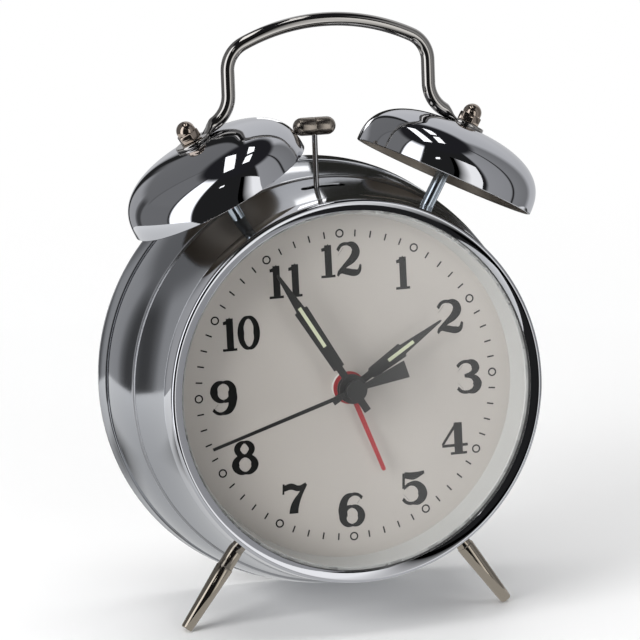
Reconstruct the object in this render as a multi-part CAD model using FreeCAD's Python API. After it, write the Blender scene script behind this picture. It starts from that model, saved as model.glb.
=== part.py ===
import FreeCAD, Part
import math
import os

# Twin bell alarm clock, in millimetres.
# Everything is drawn in the drum's own frame: x to the right, y towards the back, z up,
# with the origin at the centre of the dial's front face. The last function leans the
# clock back on its two legs and its rear rim and sets it on the table.

# The drum, from the dial backwards
CASE_WALL = 0.8
REAR_RIM_RADIUS = 60.2
REAR_RIM_Y = 41.0
FLANGE_FRONT_Y = 33.4
FLANGE_STEP = 0.5
CREASE_RADIUS = 56.4
CREASE_Y = 13.5
BARREL_BULGE = 0.45
COVE_DEPTH = 0.5
SHOULDER_RADIUS = 53.3
SHOULDER_Y = -6.4
NECK_RADIUS = 52.2
NECK_FRONT_Y = -9.0
LEDGE_INNER_RADIUS = 45.5
LEDGE_THICKNESS = 0.8

# Dial, white surround, glass and bezel
DIAL_THICKNESS = 0.5
SURROUND_REAR_RADIUS = 47.3
SURROUND_FRONT_RADIUS = 48.6
SURROUND_DEPTH = 9.4
SURROUND_WALL = 0.9
SURROUND_FLANGE = 1.0
CRYSTAL_THICKNESS = 1.5
CRYSTAL_RISE = 1.7
CRYSTAL_LAND = 0.2
BEZEL_LIP_RADIUS = 49.5
BEZEL_BEAD = 0.5
BEZEL_FRONT_RADIUS = 52.6
BEZEL_REAR_RADIUS = 53.2

# Bells, posts, cap nuts and handle, all in one plane behind the dial
HARDWARE_Y = 6.6
STUD_ANGLE = 29.5
BELL_TILT = 27.0
CROWN_REACH = 78.8
BELL_RADIUS = 26.0
BELL_HEIGHT = 15.2
BELL_SKIRT = 2.2
BELL_STEP = 0.25
BELL_WALL = 0.9
BELL_FULLNESS = 2.44
POST_RADIUS = 1.85
STUD_RADIUS = 1.5
NUT_ACROSS_CORNERS = 6.35
NUT_HEX_HEIGHT = 2.4
NUT_DOME_RADIUS = 2.6
NUT_HEIGHT = 5.6
TIPPED_GAP = 0.15
INNER_NUT_HEIGHT = 2.4
HANDLE_ROD_RADIUS = 1.9
HANDLE_HALF_SPAN = 28.5
HANDLE_TOP_Z = 100.3
HANDLE_CROWN_RADIUS = 55.5
HANDLE_CORNER_RADIUS = 8.0
HANDLE_FOOT_BEND = 9.0
HANDLE_FOOT_LIFT = 1.75
HANDLE_FOOT_START = 6.8
HANDLE_EYE_RADIUS = 5.0
HANDLE_EYE_THICKNESS = 1.0

# Legs
LEG_ANGLE = 35.6
LEG_TIP_REACH = 79.5
LEG_SHOULDER_REACH = 59.5
LEG_STUB_RADIUS = 2.2
LEG_SHOULDER_RADIUS = 2.45
LEG_TIP_RADIUS = 1.65
FOOT_FLAT_DEPTH = 0.3

# Hammer and its striker
HAMMER_X = -4.6
HAMMER_Z = 71.3
PIVOT_Z = 31.0
HEAD_LENGTH = 12.0
HEAD_RADIUS = 2.5
HEAD_GROOVE = 0.5
STEM_RADIUS = 0.75
SLOT_X = -2.7
SLOT_HALF_LENGTH = 6.3
SLOT_WIDTH = 2.6
PIVOT_PIN_RADIUS = 1.0
HUB_RADIUS = 3.0
HUB_FRONT_Y = HARDWARE_Y - 1.4
HUB_BACK_Y = HARDWARE_Y + 1.4
ARM_REACH = 15.8
ARM_HEIGHT = 2.2
ARMATURE_LENGTH = 8.0
ARMATURE_THICKNESS = 1.2
COIL_X = -17.0
COIL_RADIUS = 4.1
COIL_WINDING_RADIUS = 3.7
CORE_RADIUS = 2.2
POLE_Z = 38.0
FRAME_Y = 11.0
FRAME_THICKNESS = 1.2
FRAME_TOP_Z = 46.8
FRAME_CLIP_RADIUS = 51.0
FRAME_POST_RADIUS = 2.2
SMALL_SCREW_RADIUS = 1.0
SMALL_HEAD_RADIUS = 1.9
SMALL_HEAD_HEIGHT = 1.2
SPRING_THICKNESS = 0.25
SPRING_WIDTH = 3.0
SPRING_DISTANCE = 9.5

# Movement box and its wheels
BOX_HALF_WIDTH = 22.0
BOX_BOTTOM_Z = -19.0
BOX_TOP_Z = 24.0
BOX_WALL = 1.2
LID_Y = 17.6
LID_THICKNESS = 1.4
EAR_REACH = 50.0
EAR_HALF_HEIGHT = 4.0
EAR_THICKNESS = 2.0
EAR_SCREW_X = 48.0
TRAIN_PLATE_Y = 8.8
TRAIN_PLATE_THICKNESS = 1.0
TRAIN_PLATE_BOTTOM_Z = 2.8
RUNNING_CLEARANCE = 0.05
SECOND_ARBOR_RADIUS = 0.5
MINUTE_PIPE_RADIUS = 1.5
HOUR_PIPE_RADIUS = 2.5
ALARM_PIPE_RADIUS = 3.3
BUSH_RADIUS = 4.2
THIN_ARBOR_RADIUS = 0.3
KNOB_SHAFT_RADIUS = 1.2
SETTING_DISTANCE = 9.6
THIRD_DISTANCE = 8.7
FIFTH_DISTANCE = 5.7
ROTOR_DISTANCE = 5.4
WHEEL_THICKNESS = 1.0
THIN_WHEEL = 0.7
CANNON_TEETH = 12
MOTION_TEETH = 36
MOTION_PINION_TEETH = 10
HOUR_TEETH = 40
ALARM_TEETH = 36
ALARM_PINION_TEETH = 12
SECOND_TEETH = 30
SECOND_PINION_TEETH = 8
THIRD_TEETH = 60
THIRD_PINION_TEETH = 8
CENTRE_TEETH = 64
FIFTH_TEETH = 48
FIFTH_PINION_TEETH = 8
ROTOR_PINION_TEETH = 6
ALARM_WHEEL_Y = 2.2
HOUR_WHEEL_Y = 3.8
CANNON_Y = 5.4
CENTRE_WHEEL_Y = 7.2
THIRD_WHEEL_Y = 9.1
SECOND_WHEEL_Y = 10.6
FIFTH_WHEEL_Y = 12.1
MAGNET_Y = 13.1
MAGNET_LENGTH = 2.0
MAGNET_RADIUS = 3.0
STATOR_Y = 13.4
STATOR_THICKNESS = 0.8
DRIVE_COIL_Z = 18.6
DRIVE_COIL_RADIUS = 3.0
DRIVE_COIL_HALF_LENGTH = 9.5
BOARD_HALF_WIDTH = 14.0
BOARD_BOTTOM_Z = 9.0
BOARD_TOP_Z = 23.0
BOARD_THICKNESS = 1.0

# Hands, with the time they show
TIME_HOURS = 1
TIME_MINUTES = 54
TIME_SECONDS = 42
ALARM_HOURS = 5.29
HAND_THICKNESS = 0.4
ALARM_HAND_Y = -2.8
HOUR_HAND_Y = -4.8
MINUTE_HAND_Y = -6.8
SECOND_HAND_Y = -8.6
HAND_HUB_RADIUS = 4.0
ALARM_HUB_RADIUS = 4.5
SECOND_HUB_RADIUS = 2.8
HUB_CAP_FRONT_Y = -9.6
LUME_WIDTH = 1.0
MINUTE_REACH = 38.6
MINUTE_HALF_WIDTH = 2.0
HOUR_REACH = 31.3
HOUR_HALF_WIDTH = 2.1
SECOND_REACH = 42.7
SECOND_HALF_WIDTH = 2.45
ALARM_REACH = 25.4
ALARM_HALF_WIDTH = 0.7

# Rear cover, battery, switch and knobs
COVER_FRONT_Y = 38.0
COVER_THICKNESS = 2.0
COVER_GAP = 0.3
COVER_SCREW_INSET = 5.2
COVER_SCREW_REACH = REAR_RIM_RADIUS - COVER_SCREW_INSET
COVER_SCREW_RADIUS = 1.25
COVER_HEAD_RADIUS = 2.4
COVER_HEAD_HEIGHT = 1.4
LUG_THICKNESS = 1.2
LUG_HALF_WIDTH = 4.0
LUG_DEPTH = 3.5
LUG_INNER_REACH = COVER_SCREW_REACH - LUG_DEPTH
CELL_RADIUS = 7.15
CELL_LENGTH = 50.5
CELL_Z = -29.0
BAY_FRONT_Y = 22.4
BAY_WALL = 1.2
BAY_HALF_LENGTH = 27.8
DOOR_HALF_WIDTH = 28.3
DOOR_THICKNESS = 0.97
DOOR_TRAVEL = 9.5
DOOR_TONGUE = 0.7
SWITCH_Z = 24.0
SWITCH_TRAVEL = 4.0
SWITCH_THUMB_WIDTH = 5.0
KNOB_RADIUS = 7.0
KNOB_LENGTH = 6.8
KNOB_GAP = 0.6
KNOB_GRIPS = 24
LEAD_RADIUS = 0.45
LEAD_RISE = 12.0
LEAD_SWEEP = 13.0
LEAD_STANDOFF = 11.0
LEAD_SPLIT = 1.4
LEAD_RUN = 9.0

BACK = FreeCAD.Vector(0, 1, 0)
UP = FreeCAD.Vector(0, 0, 1)
CENTRE = FreeCAD.Vector(0, 0, 0)
DIAL_BACK_Y = DIAL_THICKNESS
LEDGE_BACK_Y = DIAL_BACK_Y + LEDGE_THICKNESS
COVER_BACK_Y = COVER_FRONT_Y + COVER_THICKNESS


# Shapes that several pieces need
def rod(radius, front, back, x=0.0, z=0.0):
    """A round bar along the drum's axis."""
    return Part.makeCylinder(radius, back - front, FreeCAD.Vector(x, front, z), BACK)


def upright_rod(radius, bottom, top):
    """A round bar standing on the z axis."""
    return Part.makeCylinder(radius, top - bottom, FreeCAD.Vector(0, 0, bottom), UP)


def block(x0, x1, y0, y1, z0, z1):
    """A box between two corners."""
    return Part.makeBox(x1 - x0, y1 - y0, z1 - z0, FreeCAD.Vector(x0, y0, z0))


def closed_wire(start, legs):
    """A closed outline: a leg of one point is a line, a leg of two points is an arc through the first."""
    edges = []
    here = FreeCAD.Vector(*start)
    for leg in list(legs) + [[start]]:
        there = FreeCAD.Vector(*leg[-1])
        if (there - here).Length < 1e-7:
            continue
        if len(leg) == 2:
            edges.append(Part.Arc(here, FreeCAD.Vector(*leg[0]), there).toShape())
        else:
            edges.append(Part.LineSegment(here, there).toShape())
        here = there
    return Part.Wire(edges)


def turned(start, legs):
    """A piece turned on the drum's axis from an outline of (radius, y) points."""
    flat = [[(point[0], point[1], 0) for point in leg] for leg in legs]
    face = Part.Face(closed_wire((start[0], start[1], 0), flat))
    return face.revolve(CENTRE, BACK, 360)


def plate(points, front, back):
    """A flat piece cut from (x, z) points, between two depths."""
    corners = [FreeCAD.Vector(x, front, z) for x, z in points]
    face = Part.Face(Part.makePolygon(corners + [corners[0]]))
    return face.extrude(FreeCAD.Vector(0, back - front, 0))


def stood(shape, x, z, lean):
    """Set a piece drawn upright on the z axis at a place in the hardware plane, leaned outwards."""
    placed = shape.copy()
    placed.rotate(CENTRE, BACK, lean)
    placed.translate(FreeCAD.Vector(x, HARDWARE_Y, z))
    return placed


def mirrored(shape):
    """The same piece on the other side of the clock."""
    return shape.mirror(CENTRE, FreeCAD.Vector(1, 0, 0))


def hexagon(across_corners, height, base):
    """A six-sided bar standing on the z axis."""
    corners = []
    for corner in range(7):
        angle = math.radians(60 * corner)
        radius = across_corners / 2
        corners.append(FreeCAD.Vector(radius * math.cos(angle), radius * math.sin(angle), base))
    return Part.Face(Part.makePolygon(corners)).extrude(FreeCAD.Vector(0, 0, height))


def tapped_screw(shank_radius, head_radius, head_height, head_y, tip_y, x, z):
    """A cross-head screw driven from the back."""
    shank = rod(shank_radius, tip_y, head_y, x, z)
    head = rod(head_radius, head_y, head_y + head_height, x, z)
    top = head_y + head_height
    arm = head_radius * 0.6
    cut = head_height * 0.5
    cross = block(x - arm, x + arm, top - cut, top, z - arm / 4, z + arm / 4)
    cross = cross.fuse(block(x - arm / 4, x + arm / 4, top - cut, top, z - arm, z + arm))
    return shank.fuse(head).cut(cross)


def gear_module(distance, teeth, mate_teeth):
    """The module that makes two wheels mesh at this distance."""
    return 2 * distance / (teeth + mate_teeth)


def gear(teeth, module, front, back, x, z, toward, gap_first):
    """A toothed wheel. It has a tooth on the line at angle toward, or a gap there if gap_first is set."""
    pitch = teeth * module / 2
    tip = pitch + 0.85 * module
    root = pitch - 1.15 * module
    step = 2 * math.pi / teeth
    turn = math.radians(toward) + (step / 2 if gap_first else 0.0)
    points = []
    for tooth in range(teeth):
        middle = turn + tooth * step
        for radius, share in ((root, -0.27), (tip, -0.1), (tip, 0.1), (root, 0.27)):
            angle = middle + share * step
            points.append((x + radius * math.cos(angle), z + radius * math.sin(angle)))
    return plate(points, front, back)


# The drum
def drum_outline(inset):
    """The drum's outside, or its inside when inset by the wall."""
    step_radius = REAR_RIM_RADIUS - FLANGE_STEP
    barrel_rear = step_radius - FLANGE_STEP
    barrel_mid_y = (CREASE_Y + FLANGE_FRONT_Y) / 2
    barrel_mid = (CREASE_RADIUS + barrel_rear) / 2 + BARREL_BULGE
    cove_mid_y = (SHOULDER_Y + CREASE_Y) / 2
    cove_mid = (SHOULDER_RADIUS + CREASE_RADIUS) / 2 - COVE_DEPTH
    front = NECK_FRONT_Y if inset == 0 else NECK_FRONT_Y - 1
    back = REAR_RIM_Y if inset == 0 else REAR_RIM_Y + 1
    start = (0, front)
    legs = [
        [(NECK_RADIUS - inset, front)],
        [(NECK_RADIUS - inset, SHOULDER_Y + inset)],
        [(SHOULDER_RADIUS - inset, SHOULDER_Y + inset)],
        [(cove_mid - inset, cove_mid_y), (CREASE_RADIUS - inset, CREASE_Y)],
        [(barrel_mid - inset, barrel_mid_y), (barrel_rear - inset, FLANGE_FRONT_Y)],
        [(step_radius - inset, FLANGE_FRONT_Y + inset)],
        [(REAR_RIM_RADIUS - inset, back)],
        [(0, back)],
    ]
    return turned(start, legs)


def cove_radius(depth):
    """The drum's outside radius in its concave front part, at this depth."""
    front = FreeCAD.Vector(SHOULDER_RADIUS, SHOULDER_Y, 0)
    back = FreeCAD.Vector(CREASE_RADIUS, CREASE_Y, 0)
    middle = (front + back) / 2 - FreeCAD.Vector(COVE_DEPTH, 0, 0)
    circle = Part.Circle(front, middle, back)
    across = math.sqrt(circle.Radius ** 2 - (depth - circle.Center.y) ** 2)
    return circle.Center.x - across


def hammer_slot():
    """The long hole in the top of the drum that the hammer's stem swings in."""
    half = SLOT_WIDTH / 2
    straight = SLOT_HALF_LENGTH - half
    bottom = CREASE_RADIUS - 12
    top = CREASE_RADIUS + 4
    slot = block(SLOT_X - straight, SLOT_X + straight, HARDWARE_Y - half, HARDWARE_Y + half, bottom, top)
    for end in (-straight, straight):
        place = FreeCAD.Vector(SLOT_X + end, HARDWARE_Y, bottom)
        slot = slot.fuse(Part.makeCylinder(half, top - bottom, place, UP))
    return slot


def ledge_screw_places():
    """Where screws bite into the drum's ledge: two for the movement and two for the striker."""
    return [(-EAR_SCREW_X, 0.0), (EAR_SCREW_X, 0.0)] + striker_post_places()


def striker_post_places():
    """The striker's two posts stand on the ledge's mid line."""
    reach = (LEDGE_INNER_RADIUS + FRAME_CLIP_RADIUS) / 2 - 0.2
    places = []
    for angle in (84.0, 130.5):
        turn = math.radians(angle)
        places.append((reach * math.cos(turn), reach * math.sin(turn)))
    return places


def case_shell():
    """The spun steel drum, with the ledge that carries the dial."""
    shell = drum_outline(0).cut(drum_outline(CASE_WALL))
    ledge = rod(SHOULDER_RADIUS, DIAL_BACK_Y, LEDGE_BACK_Y).cut(rod(LEDGE_INNER_RADIUS, DIAL_BACK_Y, LEDGE_BACK_Y))
    shell = shell.fuse(ledge)
    shell = shell.cut(hammer_slot())
    drill = upright_rod(STUD_RADIUS + RUNNING_CLEARANCE, LEDGE_INNER_RADIUS, CREASE_RADIUS)
    for side in (-1, 1):
        shell = shell.cut(stood(drill, 0, 0, side * STUD_ANGLE))
        shell = shell.cut(stood(drill, 0, 0, side * (180 - LEG_ANGLE)))
    for x, z in ledge_screw_places():
        shell = shell.cut(rod(SMALL_SCREW_RADIUS, DIAL_BACK_Y - 0.5, LEDGE_BACK_Y + 0.5, x, z))
    return shell


def cover_lugs():
    """Three steel tabs welded inside the rear rim, which the cover's screws bite into."""
    lugs = []
    for angle in cover_screw_angles():
        tab = block(LUG_INNER_REACH, REAR_RIM_RADIUS, COVER_FRONT_Y - LUG_THICKNESS, COVER_FRONT_Y,
                    -LUG_HALF_WIDTH, LUG_HALF_WIDTH)
        tab.rotate(CENTRE, BACK, -angle)
        tab = tab.common(drum_outline(CASE_WALL))
        x, z = cover_screw_place(angle)
        hole = rod(COVER_SCREW_RADIUS, COVER_FRONT_Y - 2 * LUG_THICKNESS, COVER_BACK_Y, x, z)
        lugs.append(tab.cut(hole))
    return Part.Compound(lugs)


def front_bezel():
    """The pressed bezel, whose beaded lip holds the glass."""
    seat = crystal_front_y(BEZEL_LIP_RADIUS) - RUNNING_CLEARANCE
    bead = BEZEL_BEAD
    lip = BEZEL_LIP_RADIUS
    inner_wall = NECK_RADIUS + RUNNING_CLEARANCE
    crest_y = seat - bead
    start = (lip, seat)
    legs = [
        [(lip, crest_y)],
        [(lip + bead, crest_y - bead), (lip + 2 * bead, crest_y)],
        [(lip + 2.2 * bead, crest_y - 0.1)],
        [(BEZEL_FRONT_RADIUS - 0.55, crest_y - 0.75 * bead), (BEZEL_FRONT_RADIUS, crest_y + 0.7)],
        [(BEZEL_REAR_RADIUS, SHOULDER_Y)],
        [(inner_wall, SHOULDER_Y)],
        [(inner_wall, seat)],
    ]
    return turned(start, legs)


def dial_plate():
    """The printed aluminium dial, held by its rim."""
    rim = NECK_RADIUS - CASE_WALL - COVER_GAP
    return rod(rim, 0, DIAL_BACK_Y).cut(rod(BUSH_RADIUS + RUNNING_CLEARANCE, -1, DIAL_BACK_Y + 1))


def dial_surround():
    """The white plastic wall between the dial and the glass."""
    rim = NECK_RADIUS - CASE_WALL - COVER_GAP
    front = -SURROUND_DEPTH
    start = (SURROUND_REAR_RADIUS, 0)
    legs = [
        [(SURROUND_FRONT_RADIUS, front)],
        [(SURROUND_FRONT_RADIUS + SURROUND_WALL, front)],
        [(SURROUND_REAR_RADIUS + SURROUND_WALL, -SURROUND_FLANGE)],
        [(rim, -SURROUND_FLANGE)],
        [(rim, 0)],
    ]
    return turned(start, legs)


def crystal_rim_radius():
    """The glass fits inside the bezel's wall."""
    return NECK_RADIUS - CASE_WALL - COVER_GAP


def crystal_curve():
    """The radius of the ball that the glass's front face is part of."""
    return (crystal_rim_radius() ** 2 + CRYSTAL_RISE ** 2) / (2 * CRYSTAL_RISE)


def crystal_front_y(radius):
    """How far forward the glass's front face is at this radius."""
    ball = crystal_curve()
    crown = -SURROUND_DEPTH - CRYSTAL_THICKNESS - CRYSTAL_RISE
    return crown + ball - math.sqrt(ball ** 2 - radius ** 2)


def crystal():
    """The slightly domed glass, with a flat land at its rim that rests on the surround."""
    ball = crystal_curve()
    crown = crystal_front_y(0)
    front = Part.makeSphere(ball, FreeCAD.Vector(0, crown + ball, 0), BACK)
    back_crown = crown + CRYSTAL_THICKNESS + CRYSTAL_LAND
    back = Part.makeSphere(ball, FreeCAD.Vector(0, back_crown + ball, 0), BACK)
    blank = rod(crystal_rim_radius(), crown - 1, -SURROUND_DEPTH)
    return blank.common(front).cut(back)


# Bells
def stud_point(reach):
    """The place (x, z) on the right bell stud's axis, this far from the drum's centre line."""
    angle = math.radians(STUD_ANGLE)
    return reach * math.sin(angle), reach * math.cos(angle)


def on_stud(shape):
    """Set a piece drawn upright, at its reach from the drum's centre line, on the right stud's axis."""
    return stood(shape, 0, 0, STUD_ANGLE)


def bell_point(height):
    """The place (x, z) on the right bell's own axis, this far above its rim."""
    lean = math.radians(BELL_TILT)
    crown_x, crown_z = stud_point(CROWN_REACH)
    below = BELL_HEIGHT - height
    return crown_x - below * math.sin(lean), crown_z - below * math.cos(lean)


def on_bell(shape):
    """Set a piece drawn upright from the rim's height on the right bell, which sits a little tipped."""
    x, z = bell_point(0)
    return stood(shape, x, z, BELL_TILT)


def dome_curve(radius, height, base):
    """Half of a bell's dome: a fuller curve than a circle, flat at the crown and upright at the skirt."""
    points = []
    count = 10
    for step in range(count + 1):
        angle = step / count * math.pi / 2
        across = radius * math.sin(angle) ** (2 / BELL_FULLNESS)
        up = base + height * max(math.cos(angle), 0.0) ** (2 / BELL_FULLNESS)
        points.append(FreeCAD.Vector(across, 0, up))
    points[-1] = FreeCAD.Vector(radius, 0, base)
    curve = Part.BSplineCurve()
    curve.interpolate(Points=points, InitialTangent=FreeCAD.Vector(1, 0, 0), FinalTangent=FreeCAD.Vector(0, 0, -1))
    return curve.toShape()


def bell_dome(radius, height, bottom):
    """A solid dome on a short skirt, standing on the z axis."""
    shoulder = radius - BELL_STEP
    curve = dome_curve(shoulder, height - BELL_SKIRT, BELL_SKIRT)
    corners = [
        FreeCAD.Vector(shoulder, 0, BELL_SKIRT),
        FreeCAD.Vector(radius, 0, BELL_SKIRT),
        FreeCAD.Vector(radius, 0, bottom),
        FreeCAD.Vector(0, 0, bottom),
        FreeCAD.Vector(0, 0, height),
    ]
    edges = [curve]
    for here, there in zip(corners[:-1], corners[1:]):
        edges.append(Part.LineSegment(here, there).toShape())
    return Part.Face(Part.Wire(edges)).revolve(CENTRE, UP, 360)


def bell():
    """One spun steel bell, upright, with the hole for its stud."""
    outside = bell_dome(BELL_RADIUS, BELL_HEIGHT, 0)
    inside = bell_dome(BELL_RADIUS - BELL_WALL, BELL_HEIGHT - BELL_WALL, -1)
    return outside.cut(inside)


def bell_right():
    hole = on_stud(upright_rod(STUD_RADIUS + RUNNING_CLEARANCE, CROWN_REACH - 3, CROWN_REACH + 1))
    return on_bell(bell()).cut(hole)


def bell_left():
    return mirrored(bell_right())


def pair(shape):
    """A piece and its mirror image on the left, in one node."""
    return Part.Compound([shape, mirrored(shape)])


def bell_posts():
    """Zinc-plated sleeves that hold the bells clear of the drum."""
    foot = NECK_RADIUS
    top = CROWN_REACH - BELL_WALL - TIPPED_GAP
    sleeve = upright_rod(POST_RADIUS, foot, top).cut(upright_rod(STUD_RADIUS, foot, top))
    return pair(on_stud(sleeve).cut(drum_outline(0)))


def inner_nut_reach():
    """Where the four inner nuts start, with their corners against the inside of the drum's wall."""
    front_corner = HARDWARE_Y - NUT_ACROSS_CORNERS / 2
    wall = cove_radius(front_corner) - CASE_WALL - 2 * RUNNING_CLEARANCE
    return math.sqrt(wall ** 2 - (NUT_ACROSS_CORNERS / 2) ** 2) - INNER_NUT_HEIGHT


def cap_nut_reach():
    """Where the cap nuts start, on the handle's eyes."""
    return CROWN_REACH + HANDLE_EYE_THICKNESS + TIPPED_GAP


def bell_studs():
    """Threaded rods from the inner nut through the post, the bell and the handle's eye."""
    return pair(on_stud(upright_rod(STUD_RADIUS, inner_nut_reach() - 0.5, cap_nut_reach() + NUT_HEX_HEIGHT)))


def cap_nuts():
    """Domed cap nuts on top of the bells."""
    base = cap_nut_reach()
    nut = hexagon(NUT_ACROSS_CORNERS, NUT_HEX_HEIGHT, base)
    neck = base + NUT_HEIGHT - NUT_DOME_RADIUS
    dome = upright_rod(NUT_DOME_RADIUS, base, neck)
    dome = dome.fuse(Part.makeSphere(NUT_DOME_RADIUS, FreeCAD.Vector(0, 0, neck)))
    nut = nut.fuse(dome).cut(upright_rod(STUD_RADIUS, base, base + NUT_HEX_HEIGHT))
    return pair(on_stud(nut))


def inner_nuts():
    """Four hexagon nuts inside the drum, on the bell studs and the leg studs."""
    base = inner_nut_reach()
    nut = hexagon(NUT_ACROSS_CORNERS, INNER_NUT_HEIGHT, base)
    nut = nut.cut(upright_rod(STUD_RADIUS, base, base + INNER_NUT_HEIGHT))
    bell_nut = on_stud(nut)
    leg_nut = stood(nut, 0, 0, 180 - LEG_ANGLE)
    return Part.Compound([bell_nut, mirrored(bell_nut), leg_nut, mirrored(leg_nut)])


# Handle
def handle_foot_line():
    """The handle's feet run along the bell tops: a point on that line, and its direction inwards."""
    x, z = bell_point(BELL_HEIGHT + HANDLE_FOOT_LIFT)
    lean = math.radians(BELL_TILT)
    return (x, z), (-math.cos(lean), math.sin(lean))


def handle_path():
    """The handle's centre line, from one foot over the top to the other."""
    (foot_x, foot_z), (along_x, along_z) = handle_foot_line()
    reach = (foot_x - HANDLE_HALF_SPAN) / -along_x
    bend_z = foot_z + reach * along_z
    bend_turn = math.pi / 2 - math.radians(BELL_TILT)
    tangent = HANDLE_FOOT_BEND * math.tan(bend_turn / 2)
    foot_end = (foot_x + along_x * (reach - tangent), foot_z + along_z * (reach - tangent))
    foot_start = (foot_x + along_x * HANDLE_FOOT_START, foot_z + along_z * HANDLE_FOOT_START)
    bend_centre = (HANDLE_HALF_SPAN + HANDLE_FOOT_BEND, bend_z + tangent)
    to_foot = math.pi + bend_turn / 2
    bend_mid = (bend_centre[0] + HANDLE_FOOT_BEND * math.cos(to_foot),
                bend_centre[1] + HANDLE_FOOT_BEND * math.sin(to_foot))
    crown_z = HANDLE_TOP_Z - HANDLE_CROWN_RADIUS
    corner_x = HANDLE_HALF_SPAN - HANDLE_CORNER_RADIUS
    corner_reach = HANDLE_CROWN_RADIUS - HANDLE_CORNER_RADIUS
    corner_z = crown_z + math.sqrt(corner_reach ** 2 - corner_x ** 2)
    lean = math.atan2(corner_x, corner_z - crown_z)
    corner_top = (HANDLE_CROWN_RADIUS * math.sin(lean), crown_z + HANDLE_CROWN_RADIUS * math.cos(lean))
    half = (math.pi / 2 - lean) / 2
    corner_mid = (corner_x + HANDLE_CORNER_RADIUS * math.cos(half),
                  corner_z + HANDLE_CORNER_RADIUS * math.sin(half))

    def at(point, side):
        return FreeCAD.Vector(side * point[0], HARDWARE_Y, point[1])

    side_top = (HANDLE_HALF_SPAN, corner_z)
    side_bottom = (HANDLE_HALF_SPAN, bend_z + tangent)
    edges = []
    for side in (-1, 1):
        half_edges = [
            Part.LineSegment(at(foot_start, side), at(foot_end, side)),
            Part.Arc(at(foot_end, side), at(bend_mid, side), at(side_bottom, side)),
            Part.LineSegment(at(side_bottom, side), at(side_top, side)),
            Part.Arc(at(side_top, side), at(corner_mid, side), at(corner_top, side)),
        ]
        edges += [edge.toShape() for edge in half_edges]
    crown = Part.Arc(at(corner_top, -1), at((0, HANDLE_TOP_Z), 1), at(corner_top, 1))
    edges.append(crown.toShape())
    return Part.Wire(Part.__sortEdges__(edges)), at(foot_start, 1)


def handle_foot():
    """The right foot: the rod is forged flat into an eye under the cap nut."""
    _, start = handle_path()
    _, (along_x, along_z) = handle_foot_line()
    along = FreeCAD.Vector(along_x, 0, along_z)
    lean = math.radians(BELL_TILT)
    up = FreeCAD.Vector(math.sin(lean), 0, math.cos(lean))
    eye_x, eye_z = bell_point(BELL_HEIGHT + HANDLE_EYE_THICKNESS / 2)
    eye = FreeCAD.Vector(eye_x, HARDWARE_Y, eye_z)
    flat_half = HANDLE_EYE_RADIUS * 0.62
    flat_start = eye + along * (HANDLE_EYE_RADIUS * 0.78)
    circle = Part.Wire([Part.Circle(start, along, HANDLE_ROD_RADIUS).toShape()])
    half = HANDLE_EYE_THICKNESS / 2
    oval = Part.Ellipse(flat_start + FreeCAD.Vector(0, flat_half, 0), flat_start + up * half, flat_start)
    flat = Part.Wire([oval.toShape()])
    forged = Part.makeLoft([circle, flat], True)
    disc = on_bell(upright_rod(HANDLE_EYE_RADIUS, BELL_HEIGHT, BELL_HEIGHT + HANDLE_EYE_THICKNESS))
    inner = flat_start - along * 1.5
    tongue = Part.Face(flat).extrude(inner - flat_start)
    return forged.fuse(tongue).fuse(disc)


def carry_handle():
    """The bent steel rod handle with both its eyes."""
    path, _ = handle_path()
    first = path.OrderedVertexes[0].Point
    direction = path.OrderedEdges[0].tangentAt(path.OrderedEdges[0].FirstParameter)
    ring = Part.Wire([Part.Circle(first, direction, HANDLE_ROD_RADIUS).toShape()])
    handle = path.makePipeShell([ring], True, False)
    foot = handle_foot()
    handle = handle.fuse(foot).fuse(mirrored(foot))
    hole = on_stud(upright_rod(STUD_RADIUS + RUNNING_CLEARANCE, CROWN_REACH - 3, CROWN_REACH + 5))
    return handle.cut(hole).cut(mirrored(hole))


# Legs
def leg_point(reach):
    """The place (x, z) on the right leg's axis, this far from the dial's centre."""
    angle = math.radians(LEG_ANGLE)
    return reach * math.sin(angle), -reach * math.cos(angle)


def lean_angle():
    """How far the clock leans back, in degrees, on its two leg tips and its rear rim."""
    drop = LEG_TIP_REACH * math.cos(math.radians(LEG_ANGLE))
    corner = LEG_TIP_RADIUS * math.sin(math.radians(LEG_ANGLE))
    foot_z = drop + corner - FOOT_FLAT_DEPTH
    return math.degrees(math.atan2(foot_z - REAR_RIM_RADIUS, REAR_RIM_Y - HARDWARE_Y))


def table_below():
    """A solid under the table top, in the drum's frame."""
    lean = math.radians(lean_angle())
    depth = 40.0
    size = 4 * REAR_RIM_RADIUS
    slab = block(-size / 2, size / 2, -size / 2, size / 2, -depth, 0)
    slab.rotate(CENTRE, FreeCAD.Vector(1, 0, 0), math.degrees(lean))
    slab.translate(FreeCAD.Vector(0, REAR_RIM_Y, -REAR_RIM_RADIUS))
    return slab


def leg_right():
    """A leg turned in one with the stud at its top, ground level at its tip."""
    stub_start = NECK_RADIUS - 2
    profile = [
        (0, stub_start), (LEG_STUB_RADIUS, stub_start), (LEG_STUB_RADIUS, LEG_SHOULDER_REACH),
        (LEG_SHOULDER_RADIUS, LEG_SHOULDER_REACH), (LEG_TIP_RADIUS, LEG_TIP_REACH), (0, LEG_TIP_REACH),
    ]
    corners = [FreeCAD.Vector(radius, 0, reach) for radius, reach in profile]
    leg = Part.Face(Part.makePolygon(corners + [corners[0]])).revolve(CENTRE, UP, 360)
    leg = stood(leg, 0, 0, 180 - LEG_ANGLE).cut(drum_outline(0))
    core_end = (LEG_SHOULDER_REACH + LEG_TIP_REACH) / 2
    stud = upright_rod(STUD_RADIUS, inner_nut_reach() - 0.5, core_end)
    leg = leg.fuse(stood(stud, 0, 0, 180 - LEG_ANGLE))
    return leg.cut(table_below())


def leg_left():
    return mirrored(leg_right())


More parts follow.
